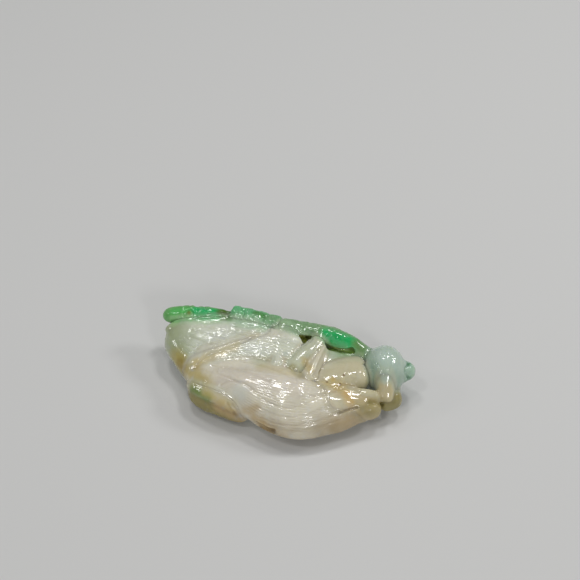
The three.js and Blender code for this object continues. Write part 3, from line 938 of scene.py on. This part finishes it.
# Half the width and the depth in millimetres, then the way of the line in pixels.
GRAVER_LINES = {
    "jade_cricket": [
        (0.3, 0.24, [(196, 364), (206, 356), (222, 350), (240, 343.5), (254, 338), (262, 334.5)]),
        (0.4, 0.18, [(221, 385), (226, 382), (232, 381), (239, 382), (246, 385), (253, 390)]),
        (0.35, 0.12, [(206, 371), (222, 375), (240, 383)]),
        (0.35, 0.1, [(262, 399), (274, 405), (288, 408), (302, 405), (316, 399)]),
        (0.32, 0.08, [(256, 406), (270, 413), (288, 417), (310, 413), (330, 405)]),
        (0.32, 0.06, [(262, 417), (280, 424), (300, 425), (324, 419), (344, 411)]),
        (0.3, 0.06, [(268, 425), (290, 431), (315, 428), (340, 420)]),
        (0.35, 0.12, [(212, 366), (230, 368), (250, 373), (270, 380)]),
        (0.35, 0.12, [(240, 360), (258, 364), (276, 370), (296, 379)]),
        (0.3, 0.1, [(236, 352), (252, 357), (266, 361)]),
        (0.45, 0.22, [(318, 351), (313, 358), (309, 366)]),
        (0.5, 0.2, [(327, 347), (321, 361), (314, 376)]),
        (0.45, 0.16, [(312, 339), (302, 346), (291, 357)]),
        (0.6, 0.5, [(256, 424), (262, 427), (268, 430), (273, 431)]),
        (0.5, 0.28, [(311, 396), (318, 395.5), (325, 394)]),
        (0.35, 0.3, [(339, 413), (345, 411), (351, 409)]),
    ],
    "jade_forequarters": [
        (0.5, 0.28, [(320, 395), (327, 393), (335, 390.5), (345, 387.5), (354, 388), (359, 391)]),
        (0.35, 0.3, [(345, 411), (351, 409), (357, 408)]),
        (0.4, 0.16, [(369, 403), (375, 403.5), (382, 405)]),
    ],
    "jade_head": [
        (0.35, 0.25, [(409, 363), (406, 368), (406, 374), (409, 379)]),
    ],
    "jade_leaf": [
        (0.35, 0.22, [(227, 403), (230, 408), (234, 413)]),
        (0.35, 0.22, [(232, 405), (236, 410), (240, 415)]),
        (0.3, 0.12, [(192, 330), (208, 334), (224, 338)]),
        (0.3, 0.12, [(190, 337), (202, 341), (212, 344)]),
        (0.3, 0.12, [(204, 326), (226, 331), (246, 335)]),
        (0.3, 0.1, [(186, 345), (198, 349)]),
    ],
    "jade_leaf_rim": [
        (0.35, 0.28, [(184, 316), (186, 312), (190, 310), (193, 313), (192, 316)]),
        (0.35, 0.28, [(208, 314), (218, 313), (229, 313)]),
        (0.35, 0.22, [(241, 308), (244, 312), (243, 317)]),
        (0.35, 0.22, [(262, 313), (264, 317), (263, 321)]),
    ],
}
seen = skins()
for name, rows in GRAVER_LINES.items():
    drawings = []
    for half_width, depth, pixels in rows:
        drawings.append(edge_row([on_stone(seen, pixel) for pixel in pixels]))
        work(stones[name], line_tree, line=drawings[-1], half_width=half_width, depth=depth,
             front=to_camera)
    settle(stones[name])
    for drawing in drawings:
        bpy.data.objects.remove(drawing)
    print(name, "has", len(rows), "graver lines")

# %% [markdown]
# Other marks keep to a spot: the rim is knobby, and the head and the neck are pitted. One
# tree does both with a texture that is read as height: noise gives lumps, and a Voronoi
# texture gives pits. It works inside a ball of the given reach.

# %% Lumps and pits in a spot
FULL_SHARE = 0.55
PIT_EDGE, PIT_FLOOR = 0.42, 0.15
POLISH_LAST = 1

spot_tree, given, here, facing = stone_tree("lumps_and_pits", {
    "Centre": (0.0, 0.0, 0.0), "Reach": 4.0, "Lump Size": 1.2, "Lump Height": 0.0, "Pit Spacing": 0.9,
    "Pit Depth": 0.0, "Seed": 0.0,
})
away = arrows("LENGTH", arrows("SUBTRACT", here, given["Centre"]))
within = away.ramp(given["Reach"], given["Reach"] * FULL_SHARE)
lumps = noise(spot_tree, here, 1.0 / given["Lump Size"], 1.0, given["Seed"]) - 0.5
cells = Flow(put(spot_tree, "ShaderNodeTexVoronoi", {
    "Vector": here, "Scale": 1.0 / given["Pit Spacing"], "W": given["Seed"],
}, voronoi_dimensions="4D").outputs["Distance"])
pits = cells.ramp(PIT_EDGE, PIT_FLOOR)
height = (lumps * 2.0 * given["Lump Height"] - pits * given["Pit Depth"]) * within
close_tree(spot_tree, push(spot_tree, given["Stone"], facing, height))

SPOTS = {
    "jade_head": [
        {"centre": (20.6, 7.6, 11.0), "reach": 4.4, "pit_spacing": 0.62, "pit_depth": 0.15, "seed": 1.0},
    ],
    "jade_leaf_rim": [
        {"centre": (-20.5, 8.4, 8.6), "reach": 4.5, "lump_size": 1.3, "lump_height": 0.45, "seed": 2.0},
        {"centre": (-9.5, 10.6, 9.0), "reach": 7.5, "lump_size": 1.3, "lump_height": 0.4,
         "pit_spacing": 1.0, "pit_depth": 0.18, "seed": 3.0},
        {"centre": (6.0, 10.8, 9.6), "reach": 10.0, "lump_size": 1.7, "lump_height": 0.22,
         "pit_spacing": 1.1, "pit_depth": 0.09, "seed": 4.0},
    ],
    "jade_forequarters": [
        {"centre": (14.5, -0.8, 7.4), "reach": 4.0, "lump_size": 1.3, "lump_height": 0.16, "seed": 5.0},
        {"centre": (16.0, 1.4, 8.4), "reach": 3.0, "lump_size": 1.1, "lump_height": 0.1, "seed": 7.0},
    ],
    "jade_leaf": [
        {"centre": (-9.0, -9.5, 3.0), "reach": 4.5, "lump_size": 1.4, "lump_height": 0.35, "seed": 6.0},
        {"centre": (-13.5, 3.4, 9.4), "reach": 4.2, "lump_size": 0.8, "lump_height": 0.14, "seed": 8.0},
    ],
    "jade_cricket": [
        {"centre": (-4.9, 1.6, 9.7), "reach": 3.6, "lump_size": 0.8, "lump_height": 0.12, "seed": 9.0},
        {"centre": (-9.5, -5.6, 8.9), "reach": 4.0, "lump_size": 0.8, "lump_height": 0.1, "seed": 10.0},
        {"centre": (7.4, -4.6, 10.0), "reach": 4.0, "lump_size": 0.8, "lump_height": 0.08, "seed": 11.0},
    ],
}
for name, spots in SPOTS.items():
    for spot in spots:
        work(stones[name], spot_tree, **spot)
for stone in stones.values():
    polish(stone, POLISH_LAST)
    settle(stone)

# %% [markdown]
# Colour. Jadeite is a felt of tiny crystals, and its greens come from chromium, while iron
# that seeped in from the pebble's skin left honey and russet. The tones lie in soft
# patches that take no notice of the carving. A patch can be given by a picture, but a
# picture would pin it to one side. Here each patch is laid in the stone itself, round a
# place or along a line, and every point of the skin near it takes up some of its tone.
# A few patches are painted highlights and painted shade, and each of them is marked in the table.

# %% Named tones
SCREEN_TONES = {
    "leaf_white": (214, 219, 202), "milk": (220, 223, 214), "leaf_grey": (184, 194, 164),
    "wing_white": (222, 217, 199), "lavender": (214, 204, 194), "beige": (176, 154, 112),
    "shell": (202, 195, 164), "honey": (202, 182, 120), "dark_honey": (204, 174, 88),
    "old_honey": (186, 168, 88), "orange": (210, 176, 104), "tan": (190, 165, 116),
    "olive_honey": (152, 142, 84), "moss_grey": (148, 160, 112), "moss": (118, 140, 66),
    "russet": (116, 88, 18), "rust": (136, 106, 40), "brown": (116, 84, 40), "icy": (184, 199, 190),
    "sea_grey": (136, 164, 140), "head_grey": (182, 200, 186), "jade_stripe": (98, 150, 116),
    "eye_green": (158, 190, 168), "sage": (138, 160, 120), "pale_green": (154, 204, 138),
    "sea_green": (104, 184, 128), "mist_green": (160, 196, 158), "grey_green": (132, 168, 122),
    "grass": (108, 178, 100), "leaf_green": (84, 190, 94), "emerald": (6, 180, 98),
    "deep_green": (76, 146, 66), "olive_green": (120, 122, 44), "deep_olive": (76, 108, 24),
    "lime_grey": (112, 150, 88), "hole_painted_light": (214, 220, 104), "slot_painted_light": (196, 226, 124),
}


def tone(screen):
    """A colour as a screen gives it, turned into the light that Blender mixes."""
    shares = [channel / 255.0 for channel in screen]
    return (*[s / 12.92 if s <= 0.04045 else ((s + 0.055) / 1.055) ** 2.4 for s in shares], 1.0)


TONES = {name: tone(screen) for name, screen in SCREEN_TONES.items()}
print(len(TONES), "tones")

# %% The tree that lays a patch
RAGGED_NOISE = 1.4
PATCH_RIM, PATCH_CORE = 1.25, 0.2
SHORTEST_SQUARED = 0.0001

patch_tree, given, here, _ = stone_tree("patch_of_tone", {
    "Start": (0.0, 0.0, 0.0), "End": (0.0, 0.0, 0.0), "Tone": (0.5, 0.5, 0.5, 1.0), "Reach": 2.0,
    "Strength": 1.0, "Unevenness": 0.35, "Seed": 0.0,
})


def mix(tree, factor, first, second, blend_type="MIX"):
    """One Mix node for colours."""
    node = put(tree, "ShaderNodeMix", {}, data_type="RGBA", blend_type=blend_type)
    for socket, value in ((0, factor), (6, first), (7, second)):
        feed(tree, node.inputs[socket], value)
    return Flow(node.outputs[2])


def lay_tone(tree, geometry, mask, colour):
    """Mixes a colour into the tone that every point keeps."""
    mixed = mix(tree, mask, kept(tree, "tone", "FLOAT_COLOR"), colour)
    return keep(tree, geometry, "tone", mixed, "FLOAT_COLOR")


from_start = arrows("SUBTRACT", here, given["Start"])
streak = arrows("SUBTRACT", given["End"], given["Start"])
length_squared = arrows("DOT_PRODUCT", streak, streak).at_least(SHORTEST_SQUARED)
reached = (arrows("DOT_PRODUCT", from_start, streak) / length_squared).at_least(0.0).at_most(1.0)
away = arrows("LENGTH", arrows("SUBTRACT", from_start, arrows("SCALE", streak, reached)))
ragged = noise(patch_tree, here, RAGGED_NOISE / given["Reach"], 3.0, given["Seed"]) - 0.5
edge = away + ragged * 2.0 * given["Unevenness"] * given["Reach"]
mask = edge.ramp(given["Reach"] * PATCH_RIM, given["Reach"] * PATCH_CORE) * given["Strength"]
close_tree(patch_tree, lay_tone(patch_tree, given["Stone"], mask, given["Tone"]))

# %% The tree that gives one element its tone
ELEMENT_CORE = 0.15

element_tone_tree, given = new_tree("tone_of_element", "GeometryNodeTree", {
    "Stone": "Geometry", "Element": "Object", "Tone": (0.5, 0.5, 0.5, 1.0), "Reach": 1.0, "Strength": 1.0,
})
off = distance_to(element_tone_tree, mesh_of(element_tone_tree, given["Element"]))
mask = off.ramp(given["Reach"], given["Reach"] * ELEMENT_CORE) * given["Strength"]
close_tree(element_tone_tree, lay_tone(element_tone_tree, given["Stone"], mask, given["Tone"]))

# %% [markdown]
# The tables say which tone goes where: first the plain tone of each piece, then of its
# elements, and then the patches, each with a start, an end where it is a streak, its reach
# in millimetres and its strength.

# %% Tones of the elements
BASE = {
    "jade_leaf": "leaf_white", "jade_leaf_rim": "grey_green", "jade_cricket": "wing_white",
    "jade_forequarters": "shell", "jade_head": "head_grey",
}
ELEMENT_TONES = {
    "jade_leaf": [("leaf_front_fold", "olive_honey", 1.4, 1.0), ("leaf_back_wall", "sage", 1.0, 0.8)],
    "jade_leaf_rim": [("leaf_rim_roll", "grass", 1.0, 0.8), ("leaf_rim_scroll", "sea_green", 1.0, 0.6)],
    "jade_cricket": [
        ("far_wing", "leaf_white", 1.0, 0.7), ("far_wing_edge", "honey", 0.8, 0.5),
        ("thorax", "sage", 1.0, 0.8), ("hind_thigh", "leaf_grey", 0.8, 0.6),
        ("hind_shin", "shell", 0.8, 0.4), ("middle_leg", "leaf_white", 0.6, 0.6),
    ],
    "jade_forequarters": [
        ("lower_arm", "tan", 0.9, 0.5), ("foreleg", "honey", 0.9, 0.35),
        ("forefoot", "olive_honey", 1.0, 0.9),
    ],
    "jade_head": [("eye_bead", "eye_green", 0.8, 0.6)],
}
WHOLE_STONE_MM = 500.0
for name, stone in stones.items():
    work(stone, patch_tree, tone=TONES[BASE[name]], reach=WHOLE_STONE_MM, unevenness=0.0)
    for element, colour, reach, strength in ELEMENT_TONES[name]:
        work(stone, element_tone_tree, element=elements[element], tone=TONES[colour], reach=reach,
             strength=strength)
    settle(stone)

# %% Patches
# The tone, where the patch starts and ends in pixels, its reach in millimetres, its strength.
STAINS_AND_PAINTED_LIGHT = {
    "jade_leaf": [
        ("moss_grey", (173, 328), (178, 356), 3.6, 0.75),
        ("leaf_grey", (186, 334), None, 3.6, 0.6),
        ("pale_green", (174, 323), (228, 320), 1.2, 0.4),
        ("mist_green", (238, 322), (262, 329), 1.4, 0.45),
        ("leaf_green", (170, 321), (190, 319), 0.9, 0.5),
        ("emerald", (196, 318), (218, 318), 0.8, 0.6),
        ("deep_olive", (222, 318), (231, 319), 0.7, 0.7),
        ("old_honey", (176, 358), (182, 367), 2.6, 0.7),
        ("russet", (180, 364), (187, 378), 1.6, 0.8),
        ("old_honey", (181, 364), (188, 378), 2.4, 0.6),
        # Painted light: a paler patch where the leaf below the rim is most brightly lit.
        ("milk", (222, 337), None, 3.2, 0.5),
        ("moss", (193, 387), (208, 397), 1.7, 0.9),
        ("tan", (222, 408), (244, 418), 2.8, 0.9),
        ("rust", (236, 414), (244, 418), 0.9, 0.7),
        ("mist_green", (234, 322), (284, 330), 1.6, 0.25),
        ("honey", (205, 392), (234, 408), 1.2, 0.6),
    ],
    "jade_leaf_rim": [
        ("leaf_green", (174, 312), (188, 311), 1.3, 0.8),
        ("emerald", (196, 311), (222, 313), 1.4, 0.95),
        ("pale_green", (171, 318), (190, 315), 0.7, 0.5),
        ("grass", (165, 316), None, 1.3, 0.6),
        ("olive_green", (189, 313), None, 0.7, 0.8),
        ("deep_olive", (223, 312), (230, 313), 1.7, 1.0),
        ("sea_green", (235, 309), (248, 313), 1.9, 0.8),
        ("deep_green", (256, 313), (263, 317), 1.1, 0.85),
        ("mist_green", (236, 317), (256, 320), 1.5, 0.7),
        ("grey_green", (271, 318), None, 1.7, 0.7),
        ("grey_green", (284, 321), (312, 328), 2.2, 0.75),
        ("emerald", (327, 335), (352, 343), 2.1, 0.95),
        ("lime_grey", (358, 345), (365, 355), 1.7, 0.85),
    ],
    "jade_cricket": [
        ("lavender", (225, 376), (295, 386), 3.2, 0.4),
        ("old_honey", (190, 370), (205, 386), 2.6, 0.75),
        ("honey", (205, 388), (232, 403), 1.1, 0.7),
        ("beige", (268, 430), (355, 421), 3.6, 0.85),
        ("russet", (262, 427), (274, 431), 0.9, 0.8),
        ("tan", (254, 419), (264, 425), 1.6, 0.7),
        ("milk", (240, 392), None, 2.4, 0.6),
        ("tan", (246, 411), (256, 408), 1.2, 0.6),
        ("dark_honey", (196, 362), (236, 346), 1.7, 0.6),
        ("honey", (236, 345), (258, 334), 0.9, 0.6),
        ("leaf_grey", (262, 359), None, 3.0, 0.5),
        # Painted highlight: a whiter patch on the far wing's flat facet, where it glints.
        ("milk", (250, 350), None, 2.6, 0.5),
        ("old_honey", (262, 367), (290, 372), 1.6, 0.3),
        ("grey_green", (331, 353), (357, 356), 1.6, 0.45),
        ("honey", (305, 361), (310, 370), 1.2, 0.6),
        # Partly a stain and partly painted shade: the hollow under the hind leg is made olive and darker.
        ("olive_honey", (292, 368), (300, 376), 1.3, 0.6),
        # Painted highlight: a small pale blue-white spot on a smooth bump.
        ("icy", (286, 354), None, 1.0, 0.5),
        ("mist_green", (284, 324), (300, 330), 2.2, 0.75),
        ("leaf_white", (284, 342), (294, 344), 2.6, 0.7),
        # Painted highlight: the far wing's facet is made whiter along its glints.
        ("milk", (245, 346), (266, 350), 2.0, 0.5),
        ("brown", (343, 411), (356, 408), 0.5, 0.5),
        ("brown", (340, 413), (346, 411), 0.35, 0.6),
    ],
    "jade_forequarters": [
        ("honey", (318, 384), (340, 387), 1.9, 0.7),
        ("shell", (362, 367), (366, 380), 1.1, 0.7),
        ("brown", (344, 375), None, 0.35, 0.8),
        ("brown", (340, 384.5), None, 0.4, 0.9),
        ("brown", (327, 382), None, 0.3, 0.7),
        ("dark_honey", (333, 379), None, 0.7, 0.6),
        ("orange", (347, 394), (350, 405), 1.4, 0.6),
        ("olive_honey", (364, 412), (379, 407), 2.6, 0.6),
        # Painted shade: a dark olive line in the crease above the lobe.
        ("olive_honey", (370, 403), (382, 404), 0.9, 0.8),
        ("head_grey", (385, 372), (386, 378), 1.6, 0.7),
    ],
    "jade_head": [
        ("icy", (385, 352), None, 4.0, 0.4),
        # Painted shade: a darker grey on the head's lower left, towards the neck.
        ("sea_grey", (372, 370), (377, 380), 2.4, 0.6),
        ("sea_grey", (400, 380), None, 2.2, 0.4),
        ("jade_stripe", (408, 364), (408, 378), 0.8, 0.85),
    ],
}
# These patches are painted light: a bright yellow-green that lifts the shade inside the openings. Their
# places are in millimetres, because they lie inside the openings, out of the picture's sight.
OPENING_PAINTED_LIGHT = [
    ("hole_painted_light", (2.6, 9.6, 8.2), (4.4, 9.6, 8.2), 1.6, 1.0),
    ("hole_painted_light", (3.4, 9.6, 6.6), None, 2.2, 1.0),
    ("slot_painted_light", (8.6, 8.8, 8.0), (13.8, 9.2, 8.0), 1.1, 1.0),
    ("slot_painted_light", (9.0, 9.4, 6.6), (13.6, 9.6, 6.6), 1.6, 1.0),
]
seen = skins()
for name, stone in stones.items():
    patches = [(colour, on_stone(seen, start), on_stone(seen, end or start), reach, strength)
               for colour, start, end, reach, strength in STAINS_AND_PAINTED_LIGHT[name]]
    patches += OPENING_PAINTED_LIGHT if name in DRILLED else []
    for seed, (colour, start, end, reach, strength) in enumerate(patches):
        work(stone, patch_tree, tone=TONES[colour], start=start, end=end or start, reach=reach,
             strength=strength, seed=float(seed))
    settle(stone)
    print(name, "has", len(patches), "patches")

# %% [markdown]
# In the pebble a tone doesn't end where a carved form ends. Near another piece, each skin
# takes up half of the tone that the other one has there, so both agree along their seam.

# %% Share tones across the seams
SHARE_MM = 1.3
TOUCHING_MM = 0.1
SHARE_AT_SEAM = 0.5

share_tree, given = new_tree("shared_tones", "GeometryNodeTree", {
    "Stone": "Geometry", "Neighbours": "Collection", "Reach": 2.5,
})
around = meshes_of(share_tree, given["Neighbours"])
their_tone = at_nearest(share_tree, around, kept(share_tree, "tone", "FLOAT_COLOR"), "FLOAT_COLOR")
share = distance_to(share_tree, around).ramp(given["Reach"], TOUCHING_MM) * SHARE_AT_SEAM
close_tree(share_tree, lay_tone(share_tree, given["Stone"], share, their_tone))

copy_stones()
for name, stone in stones.items():
    work(stone, share_tree, neighbours=neighbours_of[name], reach=SHARE_MM)
for stone in stones.values():
    settle(stone)
print("tones shared over", SHARE_MM, "mm")

# %% [markdown]
# The finish. The stone is clouded all through, grit has dulled and darkened the hollows
# that a polishing stick can't reach, and hand polish leaves the surface not quite even, so
# that highlights break up. These are three shader node groups, built once and placed in
# the material of each of the four kinds of stone. They read places in millimetres.

# %% Helpers for shader groups
def results(tree, **values):
    """Ends a shader group: each result gets an output of its name."""
    for title, value in values.items():
        kind = "NodeSocketColor" if title == "colour" else "NodeSocketFloat"
        tree.interface.new_socket(title.capitalize(), in_out="OUTPUT", socket_type=kind)
    put(tree, "NodeGroupOutput", {title.capitalize(): value for title, value in values.items()})


def stone_places(tree):
    """Where a point lies in the stone, in millimetres."""
    found = put(tree, "ShaderNodeTexCoord")
    return arrows("SCALE", Flow(found.outputs["Object"]), 1000.0)


def grain(tree, places, size_mm, detail=2.0, seed=0.0):
    """Noise around 0, from about -1 to 1, with lumps of the given size."""
    return (noise(tree, places, 1.0 / size_mm, detail, seed) - 0.5) * 2.0


def read_mark(tree, name):
    """A number that the trees above stored in the skin."""
    return Flow(put(tree, "ShaderNodeAttribute", attribute_name=name).outputs["Fac"])


# %% Group: clouds in the stone
CRYSTAL_MM, MILK_MM, FLECK_MM = 0.3, 1.6, 0.7
CRYSTAL_CONTRAST = 0.05
MILKY = {"X": 1.12, "Y": 1.15, "Z": 1.08}
FLECK_COLOUR = (0.78, 0.8, 0.74, 1.0)
MILK_EDGE, FLECK_EDGE = (0.0, 0.7), (0.35, 0.6)

cloud_group, given = new_tree("clouded_stone", "ShaderNodeTree", {
    "Tone": (0.5, 0.5, 0.5, 1.0), "Cloud Size": 5.0, "Clouding": 0.15, "Milk": 0.3, "Flecks": 0.2,
})
spot_mm = stone_places(cloud_group)
light_and_dark = grain(cloud_group, spot_mm, given["Cloud Size"], 4.0)
crystals = grain(cloud_group, spot_mm, CRYSTAL_MM, 1.0, 7.0)
brightness = 1.0 - (light_and_dark * given["Clouding"] + crystals * CRYSTAL_CONTRAST)
shaded = arrows("SCALE", given["Tone"], brightness)
grey_value = Flow(put(cloud_group, "ShaderNodeRGBToBW", {"Color": shaded}).outputs[0])
milky = Flow(put(cloud_group, "ShaderNodeCombineXYZ", {
    axis: grey_value * gain for axis, gain in MILKY.items()
}).outputs[0])
milk_mask = grain(cloud_group, spot_mm, MILK_MM, 4.0, 3.0).ramp(*MILK_EDGE) * given["Milk"]
fleck_mask = grain(cloud_group, spot_mm, FLECK_MM, 2.0, 5.0).ramp(*FLECK_EDGE) * given["Flecks"]
clouded = mix(cloud_group, milk_mask, shaded, milky)
results(cloud_group, colour=mix(cloud_group, fleck_mask, clouded, FLECK_COLOUR))

# %% Group: grit in the hollows
LINE_GRIT, CREASE_GRIT = 0.3, 0.5
CREASE_EDGE = (0.5, 1.0)
PATCHY_MM, PATCHY_SHARE, PATCHY_MEAN = 1.1, 0.35, 0.75

grit_group, given = new_tree("grit_in_hollows", "ShaderNodeTree", {
    "Tone": (0.5, 0.5, 0.5, 1.0), "Grit": (0.5, 0.4, 0.2, 1.0), "Amount": 0.6,
})
in_line = read_mark(grit_group, "groove") * LINE_GRIT
in_crease = read_mark(grit_group, "meeting").ramp(*CREASE_EDGE) * CREASE_GRIT
patchy = grain(grit_group, stone_places(grit_group), PATCHY_MM, 3.0, 2.0) * PATCHY_SHARE + PATCHY_MEAN
gathered = read_mark(grit_group, "hollow").at_least(in_line).at_least(in_crease) * patchy * given["Amount"]
results(grit_group, colour=mix(grit_group, gathered.at_most(1.0), given["Tone"], given["Grit"], "MULTIPLY"))

# %% Group: hand polish
WAVE_MM, FINE_MM, DULL_MM = 1.5, 0.45, 2.5
FINE_SHARE = 0.2
HOLLOW_DULLNESS, PATCHY_DULLNESS = 0.03, 0.03
GLOSSIEST = 0.05

polish_group, given = new_tree("hand_polish", "ShaderNodeTree", {"Roughness": 0.12, "Waviness": 0.02})
spot_mm = stone_places(polish_group)
wavy = grain(polish_group, spot_mm, WAVE_MM, 1.0, 1.0) * given["Waviness"]
fine = grain(polish_group, spot_mm, FINE_MM, 2.0, 4.0) * given["Waviness"] * FINE_SHARE
in_hollow = read_mark(polish_group, "hollow") * HOLLOW_DULLNESS
dulled = given["Roughness"] + in_hollow + grain(polish_group, spot_mm, DULL_MM, 3.0, 6.0) * PATCHY_DULLNESS
results(polish_group, roughness=dulled.at_least(GLOSSIEST), height=wavy + fine)

# %% The four kinds of jade
JADEITE_IOR = 1.66
GLOW_BY_CHANNEL = (1.0, 1.0, 0.75)
BUMP_M = 0.001
HONEY_GRIT = (0.55, 0.40, 0.20, 1.0)
GREEN_GRIT = (0.40, 0.50, 0.28, 1.0)


def jade_finish(name, clouds, grit, polish_values, glow, glow_mm):
    """A material: tone, clouds, grit and polish. Glow is the share of light that goes in."""
    made = bpy.data.materials.new(name)
    made.use_nodes = True
    tree = made.node_tree
    colour = put(tree, "ShaderNodeAttribute", attribute_name="tone").outputs["Color"]
    for group, values in ((cloud_group, clouds), (grit_group, grit)):
        placed = put(tree, "ShaderNodeGroup", {}, node_tree=group)
        for title, value in {"Tone": colour, **values}.items():
            feed(tree, placed.inputs[title], value)
        colour = placed.outputs["Colour"]
    polished = put(tree, "ShaderNodeGroup", {}, node_tree=polish_group)
    for title, value in polish_values.items():
        feed(tree, polished.inputs[title], value)
    bump = put(tree, "ShaderNodeBump", {
        "Strength": 1.0, "Distance": BUMP_M, "Height": polished.outputs["Height"],
    })
    for title, value in {
        "Base Color": colour, "Roughness": polished.outputs["Roughness"], "Normal": bump.outputs[0],
        "IOR": JADEITE_IOR, "Subsurface Weight": glow, "Subsurface Scale": glow_mm / 1000.0,
        "Subsurface Radius": GLOW_BY_CHANNEL,
    }.items():
        feed(tree, tree.nodes["Principled BSDF"].inputs[title], value)
    return made


FINISHES = {
    "pale_jade": jade_finish(
        "pale_jade_stone", {"Cloud Size": 4.0, "Clouding": 0.2, "Milk": 0.6, "Flecks": 0.25},
        {"Grit": HONEY_GRIT, "Amount": 0.4}, {"Roughness": 0.13, "Waviness": 0.02}, 0.7, 1.3),
    "green_jade": jade_finish(
        "green_jade_stone", {"Cloud Size": 3.0, "Clouding": 0.2, "Milk": 0.3, "Flecks": 0.2},
        {"Grit": GREEN_GRIT, "Amount": 0.6}, {"Roughness": 0.12, "Waviness": 0.03}, 0.7, 1.2),
    "honey_jade": jade_finish(
        "honey_jade_stone", {"Cloud Size": 4.0, "Clouding": 0.2, "Milk": 0.35, "Flecks": 0.15},
        {"Grit": HONEY_GRIT, "Amount": 0.6}, {"Roughness": 0.12, "Waviness": 0.03}, 0.7, 1.3),
    "icy_jade": jade_finish(
        "icy_jade_stone", {"Cloud Size": 4.0, "Clouding": 0.14, "Milk": 0.35, "Flecks": 0.2},
        {"Grit": GREEN_GRIT, "Amount": 0.4}, {"Roughness": 0.11, "Waviness": 0.02}, 0.9, 2.2),
}
print(len(FINISHES), "kinds of jade")

# %% [markdown]
# The stone leaves the workshop: from millimetres to metres, its foot ground flat on the
# floor, its material in place. The elements and the rough copies were only tools.

# %% Hand over to the frame
MM = 0.001
SLOTS = {
    "jade_leaf": "pale_jade", "jade_leaf_rim": "green_jade", "jade_cricket": "pale_jade",
    "jade_forequarters": "honey_jade", "jade_head": "icy_jade",
}
for thing in [*elements.values(), *rough.values(), *openings.values()]:
    bpy.data.objects.remove(thing)
for name, stone in stones.items():
    count = len(stone.data.vertices)
    places = np.empty(count * 3)
    stone.data.vertices.foreach_get("co", places)
    places = places.reshape(-1, 3)
    places[:, 2] = np.maximum(places[:, 2], 0.0)
    stone.data.vertices.foreach_set("co", (places * MM).ravel())
    stone.data.polygons.foreach_set("use_smooth", np.ones(len(stone.data.polygons), bool))
    stone.data.update()
    stone.data.materials.clear()
    stone.data.materials.append(FINISHES[SLOTS[name]])
    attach(stone, "root")
    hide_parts(*[part for part in PARTS[name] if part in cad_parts])

# %% [markdown]
# Pale paper and soft light keep the tones true. The photograph's glints are small and
# sharp, so most of the light comes from a few small lamps, each set where its reflection
# falls on the part of the stone that glints in the photograph.

# %% Floor, lamps and world
FLOOR_HALF_M = 2.0
FLOOR_COLOUR = (0.66, 0.66, 0.65, 1.0)
FLOOR_ROUGHNESS = 0.9
SOFT_LIGHT = 0.22
BACKDROP_COLOUR = (0.8, 0.8, 0.79, 1.0)
# Azimuth and elevation in degrees, distance and size in metres, power in watts.
LAMPS = {
    "lamp_behind": (165, 62, 0.5, 0.08, 0.42),
    "lamp_top": (-132, 68, 0.5, 0.08, 0.3),
    "lamp_far_right": (127, 38, 0.5, 0.1, 0.45),
    "lamp_near_right": (42, 33, 0.5, 0.07, 0.3),
    "lamp_left": (-72, 37, 0.5, 0.06, 0.12),
    "lamp_high": (-38, 66, 0.5, 0.06, 0.2),
    "lamp_front": (8, 26, 0.6, 0.5, 0.42),
}

corners = [(x * FLOOR_HALF_M, y * FLOOR_HALF_M, 0) for x, y in ((-1, -1), (1, -1), (1, 1), (-1, 1))]
floor = new_object("floor", corners, faces=[(0, 1, 2, 3)])
floor_finish = bpy.data.materials.new("floor_paper")
floor_finish.use_nodes = True
paper = floor_finish.node_tree.nodes["Principled BSDF"]
paper.inputs["Base Color"].default_value = FLOOR_COLOUR
paper.inputs["Roughness"].default_value = FLOOR_ROUGHNESS
floor.data.materials.append(floor_finish)

for name, (azimuth_deg, elevation_deg, distance, size, power) in LAMPS.items():
    lamp_data = bpy.data.lights.new(name, "AREA")
    lamp_data.size = size
    lamp_data.energy = power
    lamp = bpy.data.objects.new(name, lamp_data)
    arrow = towards(azimuth_deg, elevation_deg)
    lamp.location = arrow * distance
    lamp.rotation_euler = arrow.to_track_quat("Z", "Y").to_euler()
    bpy.context.scene.collection.objects.link(lamp)

world = bpy.data.worlds.new("studio")
world.use_nodes = True
soft_light = world.node_tree.nodes["Background"]
soft_light.inputs["Color"].default_value = (1, 1, 1, 1)
soft_light.inputs["Strength"].default_value = SOFT_LIGHT
# The camera sees a plain backdrop in the place of the soft light.
backdrop = put(world.node_tree, "ShaderNodeBackground", {"Color": BACKDROP_COLOUR, "Strength": 1.0})
seen_by = put(world.node_tree, "ShaderNodeLightPath")
chosen = put(world.node_tree, "ShaderNodeMixShader", {
    0: seen_by.outputs["Is Camera Ray"], 1: soft_light.outputs[0], 2: backdrop.outputs[0],
})
feed(world.node_tree, world.node_tree.nodes["World Output"].inputs["Surface"], chosen.outputs[0])
bpy.context.scene.world = world
bpy.context.scene.view_settings.view_transform = "Standard"
